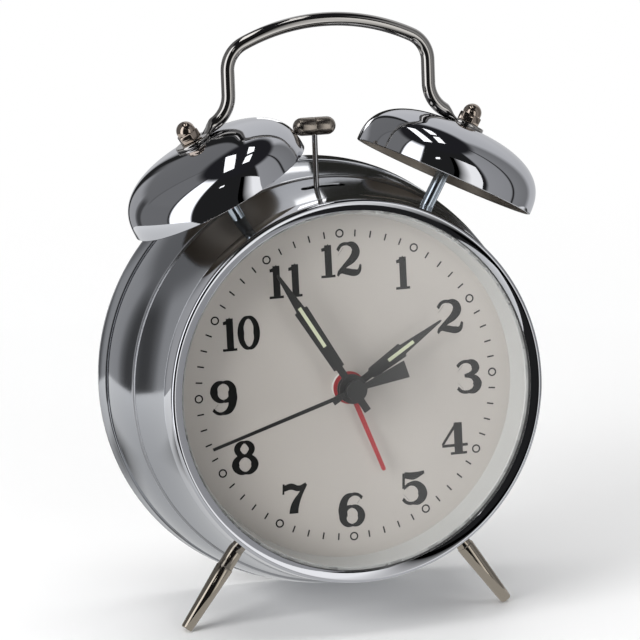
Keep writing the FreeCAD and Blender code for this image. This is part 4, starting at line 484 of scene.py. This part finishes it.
FIGURES = {
    "0": [["ring", (0.5, 0.955, 0.045), (0.77, 0.80, 0.11), (0.845, 0.5, 0.155), (0.77, 0.20, 0.11),
           (0.5, 0.045, 0.045), (0.23, 0.20, 0.11), (0.155, 0.5, 0.155), (0.23, 0.80, 0.11)]],
    "1": [[(0.56, 0.03, 0.235), (0.56, 0.965, 0.235)],
          [(0.6, 0.955, 0.05), (0.36, 0.86, 0.06), (0.12, 0.83, 0.05)],
          [(0.04, 0.04, 0.04), (1.0, 0.04, 0.04)]],
    "2": [[(0.20, 0.74, 0.165), (0.205, 0.735, 0.16)],
          [(0.09, 0.78, 0.06), (0.24, 0.93, 0.055), (0.48, 0.955, 0.05), (0.72, 0.88, 0.12),
           (0.79, 0.71, 0.17), (0.68, 0.53, 0.14), (0.40, 0.34, 0.085), (0.10, 0.12, 0.06)],
          [(0.06, 0.03, 0.04), (0.16, 0.15, 0.075), (0.42, 0.14, 0.105), (0.70, 0.09, 0.11),
           (0.87, 0.12, 0.08), (0.96, 0.32, 0.04)]],
    "3": [[(0.20, 0.765, 0.16), (0.205, 0.76, 0.155)],
          [(0.10, 0.82, 0.06), (0.26, 0.93, 0.055), (0.48, 0.955, 0.05), (0.70, 0.88, 0.12),
           (0.76, 0.75, 0.165), (0.66, 0.61, 0.085), (0.36, 0.535, 0.045)],
          [(0.36, 0.53, 0.045), (0.66, 0.48, 0.085), (0.81, 0.28, 0.18), (0.73, 0.11, 0.12),
           (0.48, 0.045, 0.05), (0.24, 0.07, 0.055), (0.09, 0.18, 0.06)],
          [(0.20, 0.235, 0.16), (0.205, 0.24, 0.155)]],
    "4": [[(0.64, 0.03, 0.15), (0.64, 0.96, 0.15)], [(0.60, 0.95, 0.05), (0.05, 0.31, 0.045)],
          [(0.04, 0.28, 0.045), (0.98, 0.28, 0.045)], [(0.34, 0.04, 0.04), (0.94, 0.04, 0.04)]],
    "5": [[(0.18, 0.90, 0.10), (0.50, 0.86, 0.12), (0.90, 0.95, 0.05)],
          [(0.15, 0.96, 0.05), (0.12, 0.50, 0.05)],
          [(0.12, 0.50, 0.045), (0.38, 0.63, 0.06), (0.68, 0.56, 0.12), (0.81, 0.31, 0.185),
           (0.70, 0.11, 0.12), (0.45, 0.045, 0.05), (0.23, 0.07, 0.055), (0.08, 0.19, 0.06)],
          [(0.20, 0.235, 0.165), (0.205, 0.24, 0.16)]],
    "6": [[(0.80, 0.775, 0.15), (0.805, 0.77, 0.145)],
          [(0.90, 0.83, 0.055), (0.74, 0.94, 0.05), (0.55, 0.955, 0.05), (0.29, 0.84, 0.12),
           (0.18, 0.52, 0.175), (0.19, 0.30, 0.155)],
          ["ring", (0.51, 0.60, 0.045), (0.75, 0.51, 0.10), (0.84, 0.31, 0.15), (0.75, 0.11, 0.10),
           (0.5, 0.04, 0.04), (0.26, 0.11, 0.10), (0.17, 0.31, 0.15), (0.26, 0.51, 0.09)]],
    "7": [[(0.12, 0.99, 0.04), (0.09, 0.68, 0.035)],
          [(0.12, 0.85, 0.09), (0.38, 0.90, 0.10), (0.66, 0.83, 0.09), (0.93, 0.94, 0.055)],
          [(0.93, 0.94, 0.045), (0.70, 0.64, 0.08), (0.50, 0.33, 0.15), (0.44, 0.12, 0.17),
           (0.44, 0.09, 0.17)]],
    "8": [["ring", (0.5, 0.96, 0.04), (0.69, 0.88, 0.10), (0.76, 0.76, 0.12), (0.69, 0.63, 0.10),
           (0.5, 0.555, 0.05), (0.31, 0.63, 0.10), (0.24, 0.76, 0.12), (0.31, 0.88, 0.10)],
          ["ring", (0.5, 0.555, 0.05), (0.76, 0.46, 0.10), (0.84, 0.29, 0.15), (0.75, 0.12, 0.10),
           (0.5, 0.04, 0.04), (0.25, 0.12, 0.10), (0.16, 0.29, 0.15), (0.24, 0.46, 0.10)]],
}
FIGURES["9"] = [[point if point == "ring" else (1 - point[0], 1 - point[1], point[2]) for point in stroke]
                for stroke in FIGURES["6"]]

# Each figure's size in mm, and how far each hour's figures were printed off their even places.
FIGURE_HEIGHT, FIGURE_CIRCLE, HOUR_RING_CIRCLE = 9.3, 34.9, 42
FIGURE_WIDTH = 7.9
NARROW_WIDTHS = {"1": 4.2, "2": 7.4, "0": 6.5}
NUDGES = {1: (-0.1, -0.45), 2: (0.1, -1.0), 3: (0.2, -0.7), 4: (0, 0), 5: (0.4, 0), 6: (-0.3, 0.3),
          7: (1.1, 0), 8: (0.3, 0.2), 9: (-0.1, -0.3), 10: (1.0, -0.5), 11: (1.4, 0), 12: (0, -0.2)}
eighths = [k * math.pi / 4 for k in range(8)]
HOUR_RING = ["ring"] + [(0.45 * math.cos(turn), 0.45 * math.sin(turn), 0.1) for turn in eighths]
HOUR_RING_SIZE = 2.2
for hour, (nudge_x, nudge_z) in NUDGES.items():
    angle = math.radians(30 * hour)
    across = FIGURE_CIRCLE * math.sin(angle) + nudge_x
    up = FIGURE_CIRCLE * math.cos(angle) + nudge_z
    gap = 1.1 if hour == 11 else 0.2
    figures = str(hour)
    widths = [NARROW_WIDTHS[figure] if hour >= 10 or figure == "1" else FIGURE_WIDTH for figure in figures]
    start = across - (sum(widths) + gap * (len(figures) - 1)) / 2
    for figure, width in zip(figures, widths):
        printed(FIGURES[figure], width, FIGURE_HEIGHT, start + width / 2, up)
        start += width + gap
    across, up = HOUR_RING_CIRCLE * math.sin(angle), HOUR_RING_CIRCLE * math.cos(angle)
    printed([HOUR_RING], HOUR_RING_SIZE, HOUR_RING_SIZE, across + HOUR_RING_SIZE / 2, up + HOUR_RING_SIZE / 2)
for minute in range(60):
    if minute % 5:
        angle = math.radians(6 * minute)
        tick = [(reach * math.sin(angle), reach * math.cos(angle), 0.22) for reach in (41.0, 42.9)]
        printed([tick], 1.0, 1.0, 0.5, 0.5)
finished("dial_print", print_parts, Matrix.Identity(4), dial_ink, 40, None, "clock")

# The surround: a cone of off-white moulded plastic between the dial and the glass. It is smooth and
# has a soft shine.
white_moulding, tree, output = material("off_white_polystyrene_moulding")
flow = tones(tree, noise(tree, 200.0, 2.0), "#b4b5b3", "#bcbdbb")
plastic = add(tree, "BsdfPrincipled", links={"Base Color": flow},
              Roughness=0.3, IOR=1.59)
tree.links.new(plastic.outputs["BSDF"], output.inputs["Surface"])
surround = turned([(47.3, 0), (48.5, -9.2), (48.7, -9.4), (49.4, -9.4), (49.5, -9.2), (48.2, -1.0),
                   (51.1, -1.0), (51.1, 0)])
finished("white_surround", surround, DRUM, white_moulding, 32, "dial_surround", "clock")

# The bezel: a pressed ring, gripped over the drum's neck, whose rounded lip holds the glass. Its
# bright chrome mirrors the room as a sharp image.
chrome = polished_metal("bright_chrome_plate", "#cfd0d4", 0.03)
LIP, CREST, BEZEL_SIDE, GROOVE = (49.5, -11.15), (51.75, -12.0), (52.6, -10.9), -10.98
bezel_outline = [(LIP[0], GROOVE), LIP]
bezel_outline += arc(LIP, (50.65, -11.68), CREST, 12)
bezel_outline += arc(CREST, (52.35, -11.75), BEZEL_SIDE, 10)
bezel_outline += [(53.25, -6.5), (53.2, -6.45), (52.25, -6.45), (52.25, GROOVE)]
finished("chrome_bezel", turned(bezel_outline, 256), DRUM, chrome, 45, "front_bezel", "clock")

# The crystal: a pressed disc of clear mineral glass, slightly domed, with a flat rim under the bezel.
# The eye sees straight through it, with a faint image of the room on its outer face.
clear_glass, tree, output = material("clear_mineral_glass")
through = add(tree, "BsdfTransparent", Color=colour("#fefefe"))
shine = add(tree, "BsdfGlossy", Color=colour("#ffffff"), Roughness=0.01)
edge = add(tree, "Fresnel", IOR=1.6)
side = add(tree, "NewGeometry")
outer_face = maths(tree, "SUBTRACT", 1.0, side.outputs["Backfacing"])
mixed = add(tree, "MixShader", links={0: maths(tree, "MULTIPLY", edge.outputs[0], outer_face),
                                      1: through.outputs[0], 2: shine.outputs[0]})
tree.links.new(mixed.outputs[0], output.inputs["Surface"])
GLASS_EDGE, GLASS_RISE, GLASS_FRONT, GLASS_BACK, GLASS_RIM = 51.1, 1.7, -12.6, -10.9, -9.4
ball = (GLASS_EDGE ** 2 + GLASS_RISE ** 2) / (2 * GLASS_RISE)


def domed(edge_radius, front):
    """Points over the glass's dome, from its middle to this radius."""
    radii = [edge_radius * i / 24 for i in range(25)]
    return [(radius, front + ball - math.sqrt(ball ** 2 - radius ** 2)) for radius in radii]


glass_outline = domed(GLASS_EDGE, GLASS_FRONT) + [(GLASS_EDGE, GLASS_RIM), (48.1, GLASS_RIM)]
glass_outline += domed(48.0, GLASS_BACK)[::-1]
finished("glass", turned(glass_outline, 128, False), DRUM, clear_glass, 40, "crystal", "clock")


# The movement, inside: moulded housings and wheels, a green board, two coils and plain steel parts,
# all held by screws. The carried-over nodes keep their shape and get the finish of the real ones.
def moulded(name, low, high, roughness, grain_mm):
    """Moulded plastic: a fine spark-eroded grain and a slight change of tone."""
    made, tree, output = material(name)
    clouds = tones(tree, noise(tree, 80.0, 2.0), low, high)
    grain = relief(tree, noise(tree, 1000.0 / grain_mm, 2.0), 0.25, 0.00005)
    plastic = add(tree, "BsdfPrincipled", links={"Base Color": clouds, "Normal": grain}, Roughness=roughness)
    tree.links.new(plastic.outputs["BSDF"], output.inputs["Surface"])
    return made


natural_acetal = moulded("natural_acetal", "#d9d4c4", "#e4dfd0", 0.35, 0.4)
grey_abs = moulded("light_grey_abs", "#c9c9c5", "#d3d3cf", 0.5, 0.5)
green_laminate = moulded("green_coated_laminate", "#0f4a28", "#16592f", 0.3, 0.3)
copper_winding = polished_metal("enamelled_copper_winding", "#b26a3c", 0.35)
plain_steel = polished_metal("rolled_steel", "#a9abae", 0.28)
spring_steel = polished_metal("polished_spring_steel", "#b4b4b6", 0.14)
zinc = polished_metal("bright_zinc_plate", "#b9c3cc", 0.13)
sleeve_red = moulded("red_pvc_sleeve", "#8e1414", "#a01c1a", 0.35, 0.3)
dress(grey_abs, "movement_front_housing", "movement_rear_housing", "train_plate")
dress(natural_acetal, "rotor", "fifth_wheel", "second_wheel", "third_wheel", "centre_wheel", "minute_pipe",
      "motion_wheel", "hour_wheel", "alarm_wheel", "alarm_setting_arbor", "hammer_lever")
dress(green_laminate, "control_board")
dress(copper_winding, "drive_coil", "striker_coil")
dress(plain_steel, "coil_core", "stator_plate", "striker_frame", "striker_core", "hammer_armature",
      "hammer_pivot_pin", "cover_lugs")
dress(spring_steel, "pivot_clip", "hammer_return_spring", "battery_contacts")
dress(zinc, "movement_screws", "striker_screws", "inner_nuts", "bell_studs", "cover_screws")
dress(sleeve_red, "inner_leads")


# The hands: stamped aluminium, painted semi-gloss black, with pale luminous paste in their windows.
# The alarm hand is painted red. Each has a round collet in its middle, pressed on its pipe.
def painted(name, low, high, roughness):
    """Stoved paint on thin metal: slight orange peel, and a change of tone."""
    made, tree, output = material(name)
    peel = noise(tree, 1500.0, 2.0)
    coat = add(tree, "BsdfPrincipled", links={"Base Color": tones(tree, peel, low, high),
                                              "Normal": relief(tree, peel, 0.15, 0.00004)},
               Roughness=roughness)
    tree.links.new(coat.outputs["BSDF"], output.inputs["Surface"])
    return made


black_paint = painted("semi_gloss_black_paint", "#0d0d0d", "#161616", 0.4)
red_paint = painted("red_stoving_paint", "#a01720", "#ad2029", 0.45)
lume_paste = painted("pale_luminous_paste", "#c9cfae", "#d5d9be", 0.8)
HAND_THICKNESS, WINDOW_HALF, PIPE_RADIUS, COLLET_RADIUS = 0.4, 0.5, 1.5, 4.0
MINUTE_STEPS = [(-0.189, 0.5), (0.187, 0.5), (0.19, 0.825), (0.692, 1.02), (0.697, 0.66), (0.985, 0.2),
                (1.0, 0.1)]
HOUR_STEPS = [(-0.204, 0.476), (0.211, 0.476), (0.225, 0.762), (0.565, 1.0), (0.572, 0.7), (0.985, 0.13),
              (1.0, 0.05)]


def stamped_hand(node, body, steps, reach, half_width, front, turn, window):
    """A hand stamped from its outline. Steps and window are shares of its reach and half width."""
    place = DRUM @ Matrix.Rotation(math.radians(turn), 4, "Y")
    right = [(wide * half_width, far * reach) for far, wide in steps]
    outline = right + [(-x, z) for x, z in right[::-1]]
    low, high = window[0] * reach, window[1] * reach
    opening = [(WINDOW_HALF, low), (-WINDOW_HALF, low), (-WINDOW_HALF, high), (WINDOW_HALF, high)]
    hand = bmesh.new()
    edges = []
    for ring in (outline, opening):
        corners = [hand.verts.new((x, front, z)) for x, z in ring]
        edges += [hand.edges.new(pair) for pair in zip(corners, corners[1:] + corners[:1])]
    filled = bmesh.ops.triangle_fill(hand, edges=edges, use_beauty=True, use_dissolve=True)["geom"]
    sheet = [part for part in filled if isinstance(part, bmesh.types.BMFace)]
    raised = bmesh.ops.extrude_face_region(hand, geom=sheet)["geom"]
    rear = [part for part in raised if isinstance(part, bmesh.types.BMVert)]
    bmesh.ops.translate(hand, vec=(0, HAND_THICKNESS, 0), verts=rear)
    back = front + HAND_THICKNESS
    collet = [(PIPE_RADIUS, front - 0.03), (COLLET_RADIUS - 0.1, front - 0.03), (COLLET_RADIUS, front + 0.08),
              (COLLET_RADIUS, back), (PIPE_RADIUS, back)]
    put_in(hand, turned(collet, 64))
    finished(node + "_stamped", hand, place, black_paint, 30, node, body)


stamped_hand("minute_hand", "minute_train", MINUTE_STEPS, 38.6, 2.0, -6.8, 328.2, (0.376, 0.715))
stamped_hand("hour_hand", "hour_train", HOUR_STEPS, 31.3, 2.1, -4.8, 57.35, (0.409, 0.69))
dress(black_paint, "second_hand")
dress(red_paint, "alarm_hand")
dress(lume_paste, "hour_lume", "minute_lume")

# The hammer: a nickel-plated capsule, lying across the clock, grooved where the spring-steel stem is
# riveted in. Its plate is brown and dull beside the chrome.
dull_nickel = polished_metal("dull_nickel_plate", "#a39a90", 0.22)
HAMMER_X, HEAD_HEIGHT, HEAD_RADIUS, HEAD_HALF, STEM_RADIUS = -4.6, 71.3, 2.5, 6.0, 0.75
head_outline = [(0, -HEAD_HALF)] + arc((0, -HEAD_HALF), (1.77, -5.27), (HEAD_RADIUS, -3.5), 10)
head_outline += [(HEAD_RADIUS, -0.3), (2.46, -0.16), (2.32, -0.13), (2.32, 0.13), (2.46, 0.16)]
head_outline += [(HEAD_RADIUS, 0.3)]
head_outline += arc((HEAD_RADIUS, 3.5), (1.77, 5.27), (0, HEAD_HALF), 10)
ACROSS = Matrix.Rotation(math.radians(-90), 4, "Z")
HEAD = DRUM @ Matrix.Translation((HAMMER_X, HARDWARE_Y, HEAD_HEIGHT)) @ ACROSS
head = turned(head_outline, 64, False)
finished("hammer_capsule", head, HEAD, dull_nickel, 40, "hammer_head", "hammer")
STEM = DRUM @ Matrix.Translation((HAMMER_X, HARDWARE_Y, 0)) @ UPRIGHT
stem = turned([(0, 34.0), (STEM_RADIUS, 34.0), (STEM_RADIUS, HEAD_HEIGHT), (0, HEAD_HEIGHT)], 32, False)
finished("hammer_wire", stem, STEM, spring_steel, 40, "hammer_stem", "hammer")

# The bells: spun steel domes with a short upright skirt and a rolled lip, chrome plated outside and
# left dull inside. Each is clamped through its crown by a stud, on a zinc-plated sleeve.
STUD_ANGLE, BELL_TILT, CROWN_REACH = 29.5, 27.0, 78.8
BELL_RADIUS, BELL_HEIGHT, BELL_WALL, SKIRT, BELL_HOLE, FULLNESS = 26.0, 15.2, 0.9, 0.4, 1.6, 2.58
bell_inside = polished_metal("unpolished_bell_inside", "#bcb3a8", 0.42)


def radial(side, degrees):
    """In the drum's frame: from the middle of the clock's depth, turned by this angle to one side."""
    return Matrix.Translation((0, HARDWARE_Y, 0)) @ Matrix.Rotation(math.radians(side * degrees), 4, "Y")


def dome(radius, height, count=40):
    """Half of a dome that is fuller than a circle, from its skirt up to the hole in its crown."""
    points = []
    for step in range(count + 1):
        angle = math.pi / 2 * (1 - step / count)
        across = radius * math.sin(angle) ** (2 / FULLNESS)
        up = SKIRT + height * max(math.cos(angle), 0.0) ** (2 / FULLNESS)
        points.append((max(across, BELL_HOLE), up))
    return points


bell_outline = [(25.2, 0.12), (25.45, 0.0), (25.85, 0.0), (26.0, 0.15)]
bell_outline += dome(BELL_RADIUS, BELL_HEIGHT - SKIRT)
bell_outline += dome(BELL_RADIUS - BELL_WALL, BELL_HEIGHT - BELL_WALL - SKIRT)[::-1]
middle_radius, middle_height = BELL_RADIUS - BELL_WALL / 2, BELL_HEIGHT - BELL_WALL / 2 - SKIRT
for side, node in ((-1, "bell_left"), (1, "bell_right")):
    crown = DRUM @ radial(side, STUD_ANGLE) @ Vector((0, 0, CROWN_REACH))
    tipped = DRUM.to_3x3().to_4x4() @ Matrix.Rotation(math.radians(side * BELL_TILT), 4, "Y")
    BELL = Matrix.Translation(crown) @ tipped @ Matrix.Translation((0, 0, -BELL_HEIGHT)) @ UPRIGHT
    shell = turned(bell_outline, 256)
    for face in shell.faces:
        spot = face.calc_center_median()
        out = math.hypot(spot.x, spot.z) / middle_radius
        up = max(spot.y - SKIRT, 0) / middle_height
        face.material_index = 1 if out ** FULLNESS + up ** FULLNESS < 1 else 0
    bell = finished(node + "_spun", shell, BELL, chrome, 30, node, "clock")
    bell.data.materials.append(bell_inside)

# The sleeves under the bells: plain zinc-plated tube, a little blue, that stands on the drum.
sleeves = bmesh.new()
for side in (-1, 1):
    sleeve = turned([(1.5, 54.3), (1.85, 54.3), (1.85, 77.6), (1.7, 77.74), (1.5, 77.74)], 48)
    bmesh.ops.transform(sleeve, matrix=radial(side, STUD_ANGLE) @ UPRIGHT, verts=sleeve.verts)
    put_in(sleeves, sleeve)
finished("bell_sleeves", sleeves, DRUM, zinc, 40, "bell_posts", "clock")

# The cap nuts: hexagon nuts with a domed closed end, that clamp the handle's eyes and the bells on
# their studs. Their nickel plate is a warm white beside the chrome.
nickel = polished_metal("warm_nickel_plate", "#b3a69a", 0.09)
NUT_CORNER, NUT_DEPTH, CAP_RADIUS, CAP_SIDE, CAP_TOP = 3.175, 2.4, 2.6, 3.0, 5.6
nut_base = CROWN_REACH + 1.15
nuts = bmesh.new()
for side in (-1, 1):
    nut = bmesh.new()
    bmesh.ops.create_cone(nut, cap_ends=True, segments=6, radius1=NUT_CORNER, radius2=NUT_CORNER,
                          depth=NUT_DEPTH, matrix=Matrix.Translation((0, 0, nut_base + NUT_DEPTH / 2)))
    bmesh.ops.bevel(nut, geom=nut.edges[:], offset=0.22, segments=3, profile=0.5, affect="EDGES", material=-1)
    cap = [(0, nut_base + 2.0), (2.55, nut_base + 2.0), (2.55, nut_base + 2.3), (CAP_RADIUS, nut_base + 2.5),
           (CAP_RADIUS, nut_base + CAP_SIDE)]
    cap += arc(cap[-1], (1.838, nut_base + 4.838), (0, nut_base + CAP_TOP), 14)
    shell = turned(cap, 64, False)
    bmesh.ops.transform(shell, matrix=UPRIGHT, verts=shell.verts)
    for part in (nut, shell):
        bmesh.ops.recalc_face_normals(part, faces=part.faces)
        bmesh.ops.transform(part, matrix=radial(side, STUD_ANGLE), verts=part.verts)
        put_in(nuts, part)
finished("domed_cap_nuts", nuts, DRUM, nickel, 40, "cap_nuts", "clock")

# The handle: bent steel rod, chrome plated, its ends forged flat into eyes under the cap nuts. The
# plate on drawn rod is a little warmer and less bright than on the bells. Its line is drawn here for
# the right half, in (x, z): a foot along the bell's crown, a bend, an upright, a corner and the grip.
rod_plate = polished_metal("chrome_plated_rod", "#b4b1ad", 0.05)
ROD_RADIUS, UPRIGHT_X, FOOT_BEND, CORNER_BEND = 1.885, 28.5, 9.0, 8.0
HANDLE_TOP, GRIP_RADIUS = 100.3, 55.5
tilt = math.radians(BELL_TILT)
crown_x = CROWN_REACH * math.sin(math.radians(STUD_ANGLE))
crown_z = CROWN_REACH * math.cos(math.radians(STUD_ANGLE))
outwards = Vector((math.sin(tilt), math.cos(tilt)))
inwards = Vector((-math.cos(tilt), math.sin(tilt)))
FOOT_RISE = 1.75
foot = Vector((crown_x, crown_z)) + outwards * FOOT_RISE
foot_reach = (foot.x - UPRIGHT_X) / math.cos(tilt)
bend_turn = math.pi / 2 - tilt
tangent = FOOT_BEND * math.tan(bend_turn / 2)
bend_z = foot.y + foot_reach * inwards.y + tangent
foot_end = tuple(foot + inwards * (foot_reach - tangent))
half_bend = math.pi + bend_turn / 2
bend_mid = (UPRIGHT_X + FOOT_BEND * (1 + math.cos(half_bend)), bend_z + FOOT_BEND * math.sin(half_bend))
grip_centre = HANDLE_TOP - GRIP_RADIUS
corner_x = UPRIGHT_X - CORNER_BEND
corner_z = grip_centre + math.sqrt((GRIP_RADIUS - CORNER_BEND) ** 2 - corner_x ** 2)
corner_lean = math.atan2(corner_x, corner_z - grip_centre)
corner_top = (GRIP_RADIUS * math.sin(corner_lean), grip_centre + GRIP_RADIUS * math.cos(corner_lean))
corner_half = (math.pi / 2 - corner_lean) / 2
corner_mid = (corner_x + CORNER_BEND * math.cos(corner_half), corner_z + CORNER_BEND * math.sin(corner_half))
half_path = [tuple(foot + inwards * step) for step in range(7)] + [foot_end]
half_path += arc(foot_end, bend_mid, (UPRIGHT_X, bend_z), 14)
half_path += [(UPRIGHT_X, bend_z + (corner_z - bend_z) * k / 4) for k in (1, 2, 3, 4)]
half_path += arc((UPRIGHT_X, corner_z), corner_mid, corner_top, 14)
grip = arc(corner_top, (0, HANDLE_TOP), (-corner_top[0], corner_top[1]), 48)
whole_path = half_path + grip + [(-px, pz) for px, pz in half_path[:-1]][::-1]
rod_curve = bpy.data.curves.new("handle_rod", "CURVE")
rod_curve.dimensions = "3D"
rod_curve.bevel_depth = ROD_RADIUS
rod_curve.bevel_resolution = 7
rod_curve.use_fill_caps = True
rod_line = rod_curve.splines.new("POLY")
rod_line.points.add(len(whole_path) - 1)
for spot, (px, pz) in zip(rod_line.points, whole_path):
    spot.co = (px, HARDWARE_Y, pz, 1)
rod_object = bpy.data.objects.new("handle_rod", rod_curve)
rod_mesh = bpy.data.meshes.new_from_object(rod_object)
bpy.data.objects.remove(rod_object)
handle = bmesh.new()
handle.from_mesh(rod_mesh)
bpy.data.meshes.remove(rod_mesh)

# Towards each eye the rod is forged flatter and wider, down on to the crown.
FORGED_REACH, FORGED_HEIGHT, FORGED_BLEND = 7.6, 4.2, 4.2
FORGED_FLATNESS, FORGED_SPREAD, FORGED_RISE = 0.255, 0.65, 0.5
for vert in handle.verts:
    side = 1 if vert.co.x > 0 else -1
    from_crown = Vector((side * vert.co.x - crown_x, vert.co.z - crown_z))
    run = from_crown.dot(inwards)
    height = from_crown.dot(outwards)
    if run < FORGED_REACH and height < FORGED_HEIGHT:
        share = min(1.0, max(0.0, (FORGED_REACH - run) / FORGED_BLEND))
        share = share * share * (3 - 2 * share)
        flat = FORGED_RISE + (height - FOOT_RISE) * FORGED_FLATNESS
        spot = Vector((crown_x, crown_z)) + inwards * run + outwards * (height + (flat - height) * share)
        vert.co.x, vert.co.z = side * spot.x, spot.y
        vert.co.y = HARDWARE_Y + (vert.co.y - HARDWARE_Y) * (1 + FORGED_SPREAD * share)
eye_outline = [(1.6, 0.0), (4.85, 0.0), (5.0, 0.15), (5.0, 0.85), (4.85, 1.0), (1.6, 1.0)]
for side in (-1, 1):
    eye = turned(eye_outline, 64)
    bmesh.ops.recalc_face_normals(eye, faces=eye.faces)
    crown = Matrix.Translation((side * crown_x, HARDWARE_Y, crown_z))
    bmesh.ops.transform(eye, matrix=crown @ Matrix.Rotation(side * tilt, 4, "Y") @ UPRIGHT, verts=eye.verts)
    put_in(handle, eye)
finished("bent_handle", handle, DRUM, rod_plate, 45, "carry_handle", "clock")

# The legs: turned steel, nickel plated, tapering from a shoulder to a tip that is ground level with
# the table. Each screws in through the drum's wall. The plate is greyer than on the hammer.
leg_nickel = polished_metal("turned_and_nickel_plated_steel", "#aaa194", 0.08)
LEG_ANGLE = 180 - 35.6
leg_outline = [(0, 54.2), (2.2, 54.2), (2.2, 59.35), (2.3, 59.5), (2.45, 59.75), (1.68, 79.2), (1.5, 79.5)]
leg_outline += [(0, 79.5)]
for side, node in ((-1, "leg_left"), (1, "leg_right")):
    leg = turned(leg_outline, 48, False)
    bmesh.ops.transform(leg, matrix=DRUM @ radial(side, LEG_ANGLE) @ UPRIGHT, verts=leg.verts)
    bmesh.ops.bisect_plane(leg, geom=leg.verts[:] + leg.edges[:] + leg.faces[:], plane_co=(0, 0, 0),
                           plane_no=(0, 0, -1), clear_outer=True)
    bmesh.ops.holes_fill(leg, edges=[e for e in leg.edges if e.is_boundary], sides=0)
    finished(node + "_turned", leg, Matrix.Identity(4), leg_nickel, 35, node, "clock")

# The back: a black moulded cover with a sliding battery door, two ribbed setting knobs and the
# alarm's slide switch, and the cell in its bay. The cover is grained, the knobs have a gloss.
black_abs = moulded("black_grained_abs", "#18181a", "#212123", 0.5, 0.35)
black_knob = moulded("black_gloss_abs", "#101011", "#171718", 0.3, 0.8)
red_slide = moulded("red_abs", "#a81e1e", "#b62724", 0.4, 0.4)
cell_film = painted("blue_cell_film", "#27507e", "#2d5a8c", 0.25)
dress(black_abs, "rear_cover", "battery_door")
dress(black_knob, "time_knob", "alarm_knob")
dress(red_slide, "alarm_switch")
dress(cell_film, "battery_cell")

bpy.context.scene.view_settings.view_transform = "Standard"
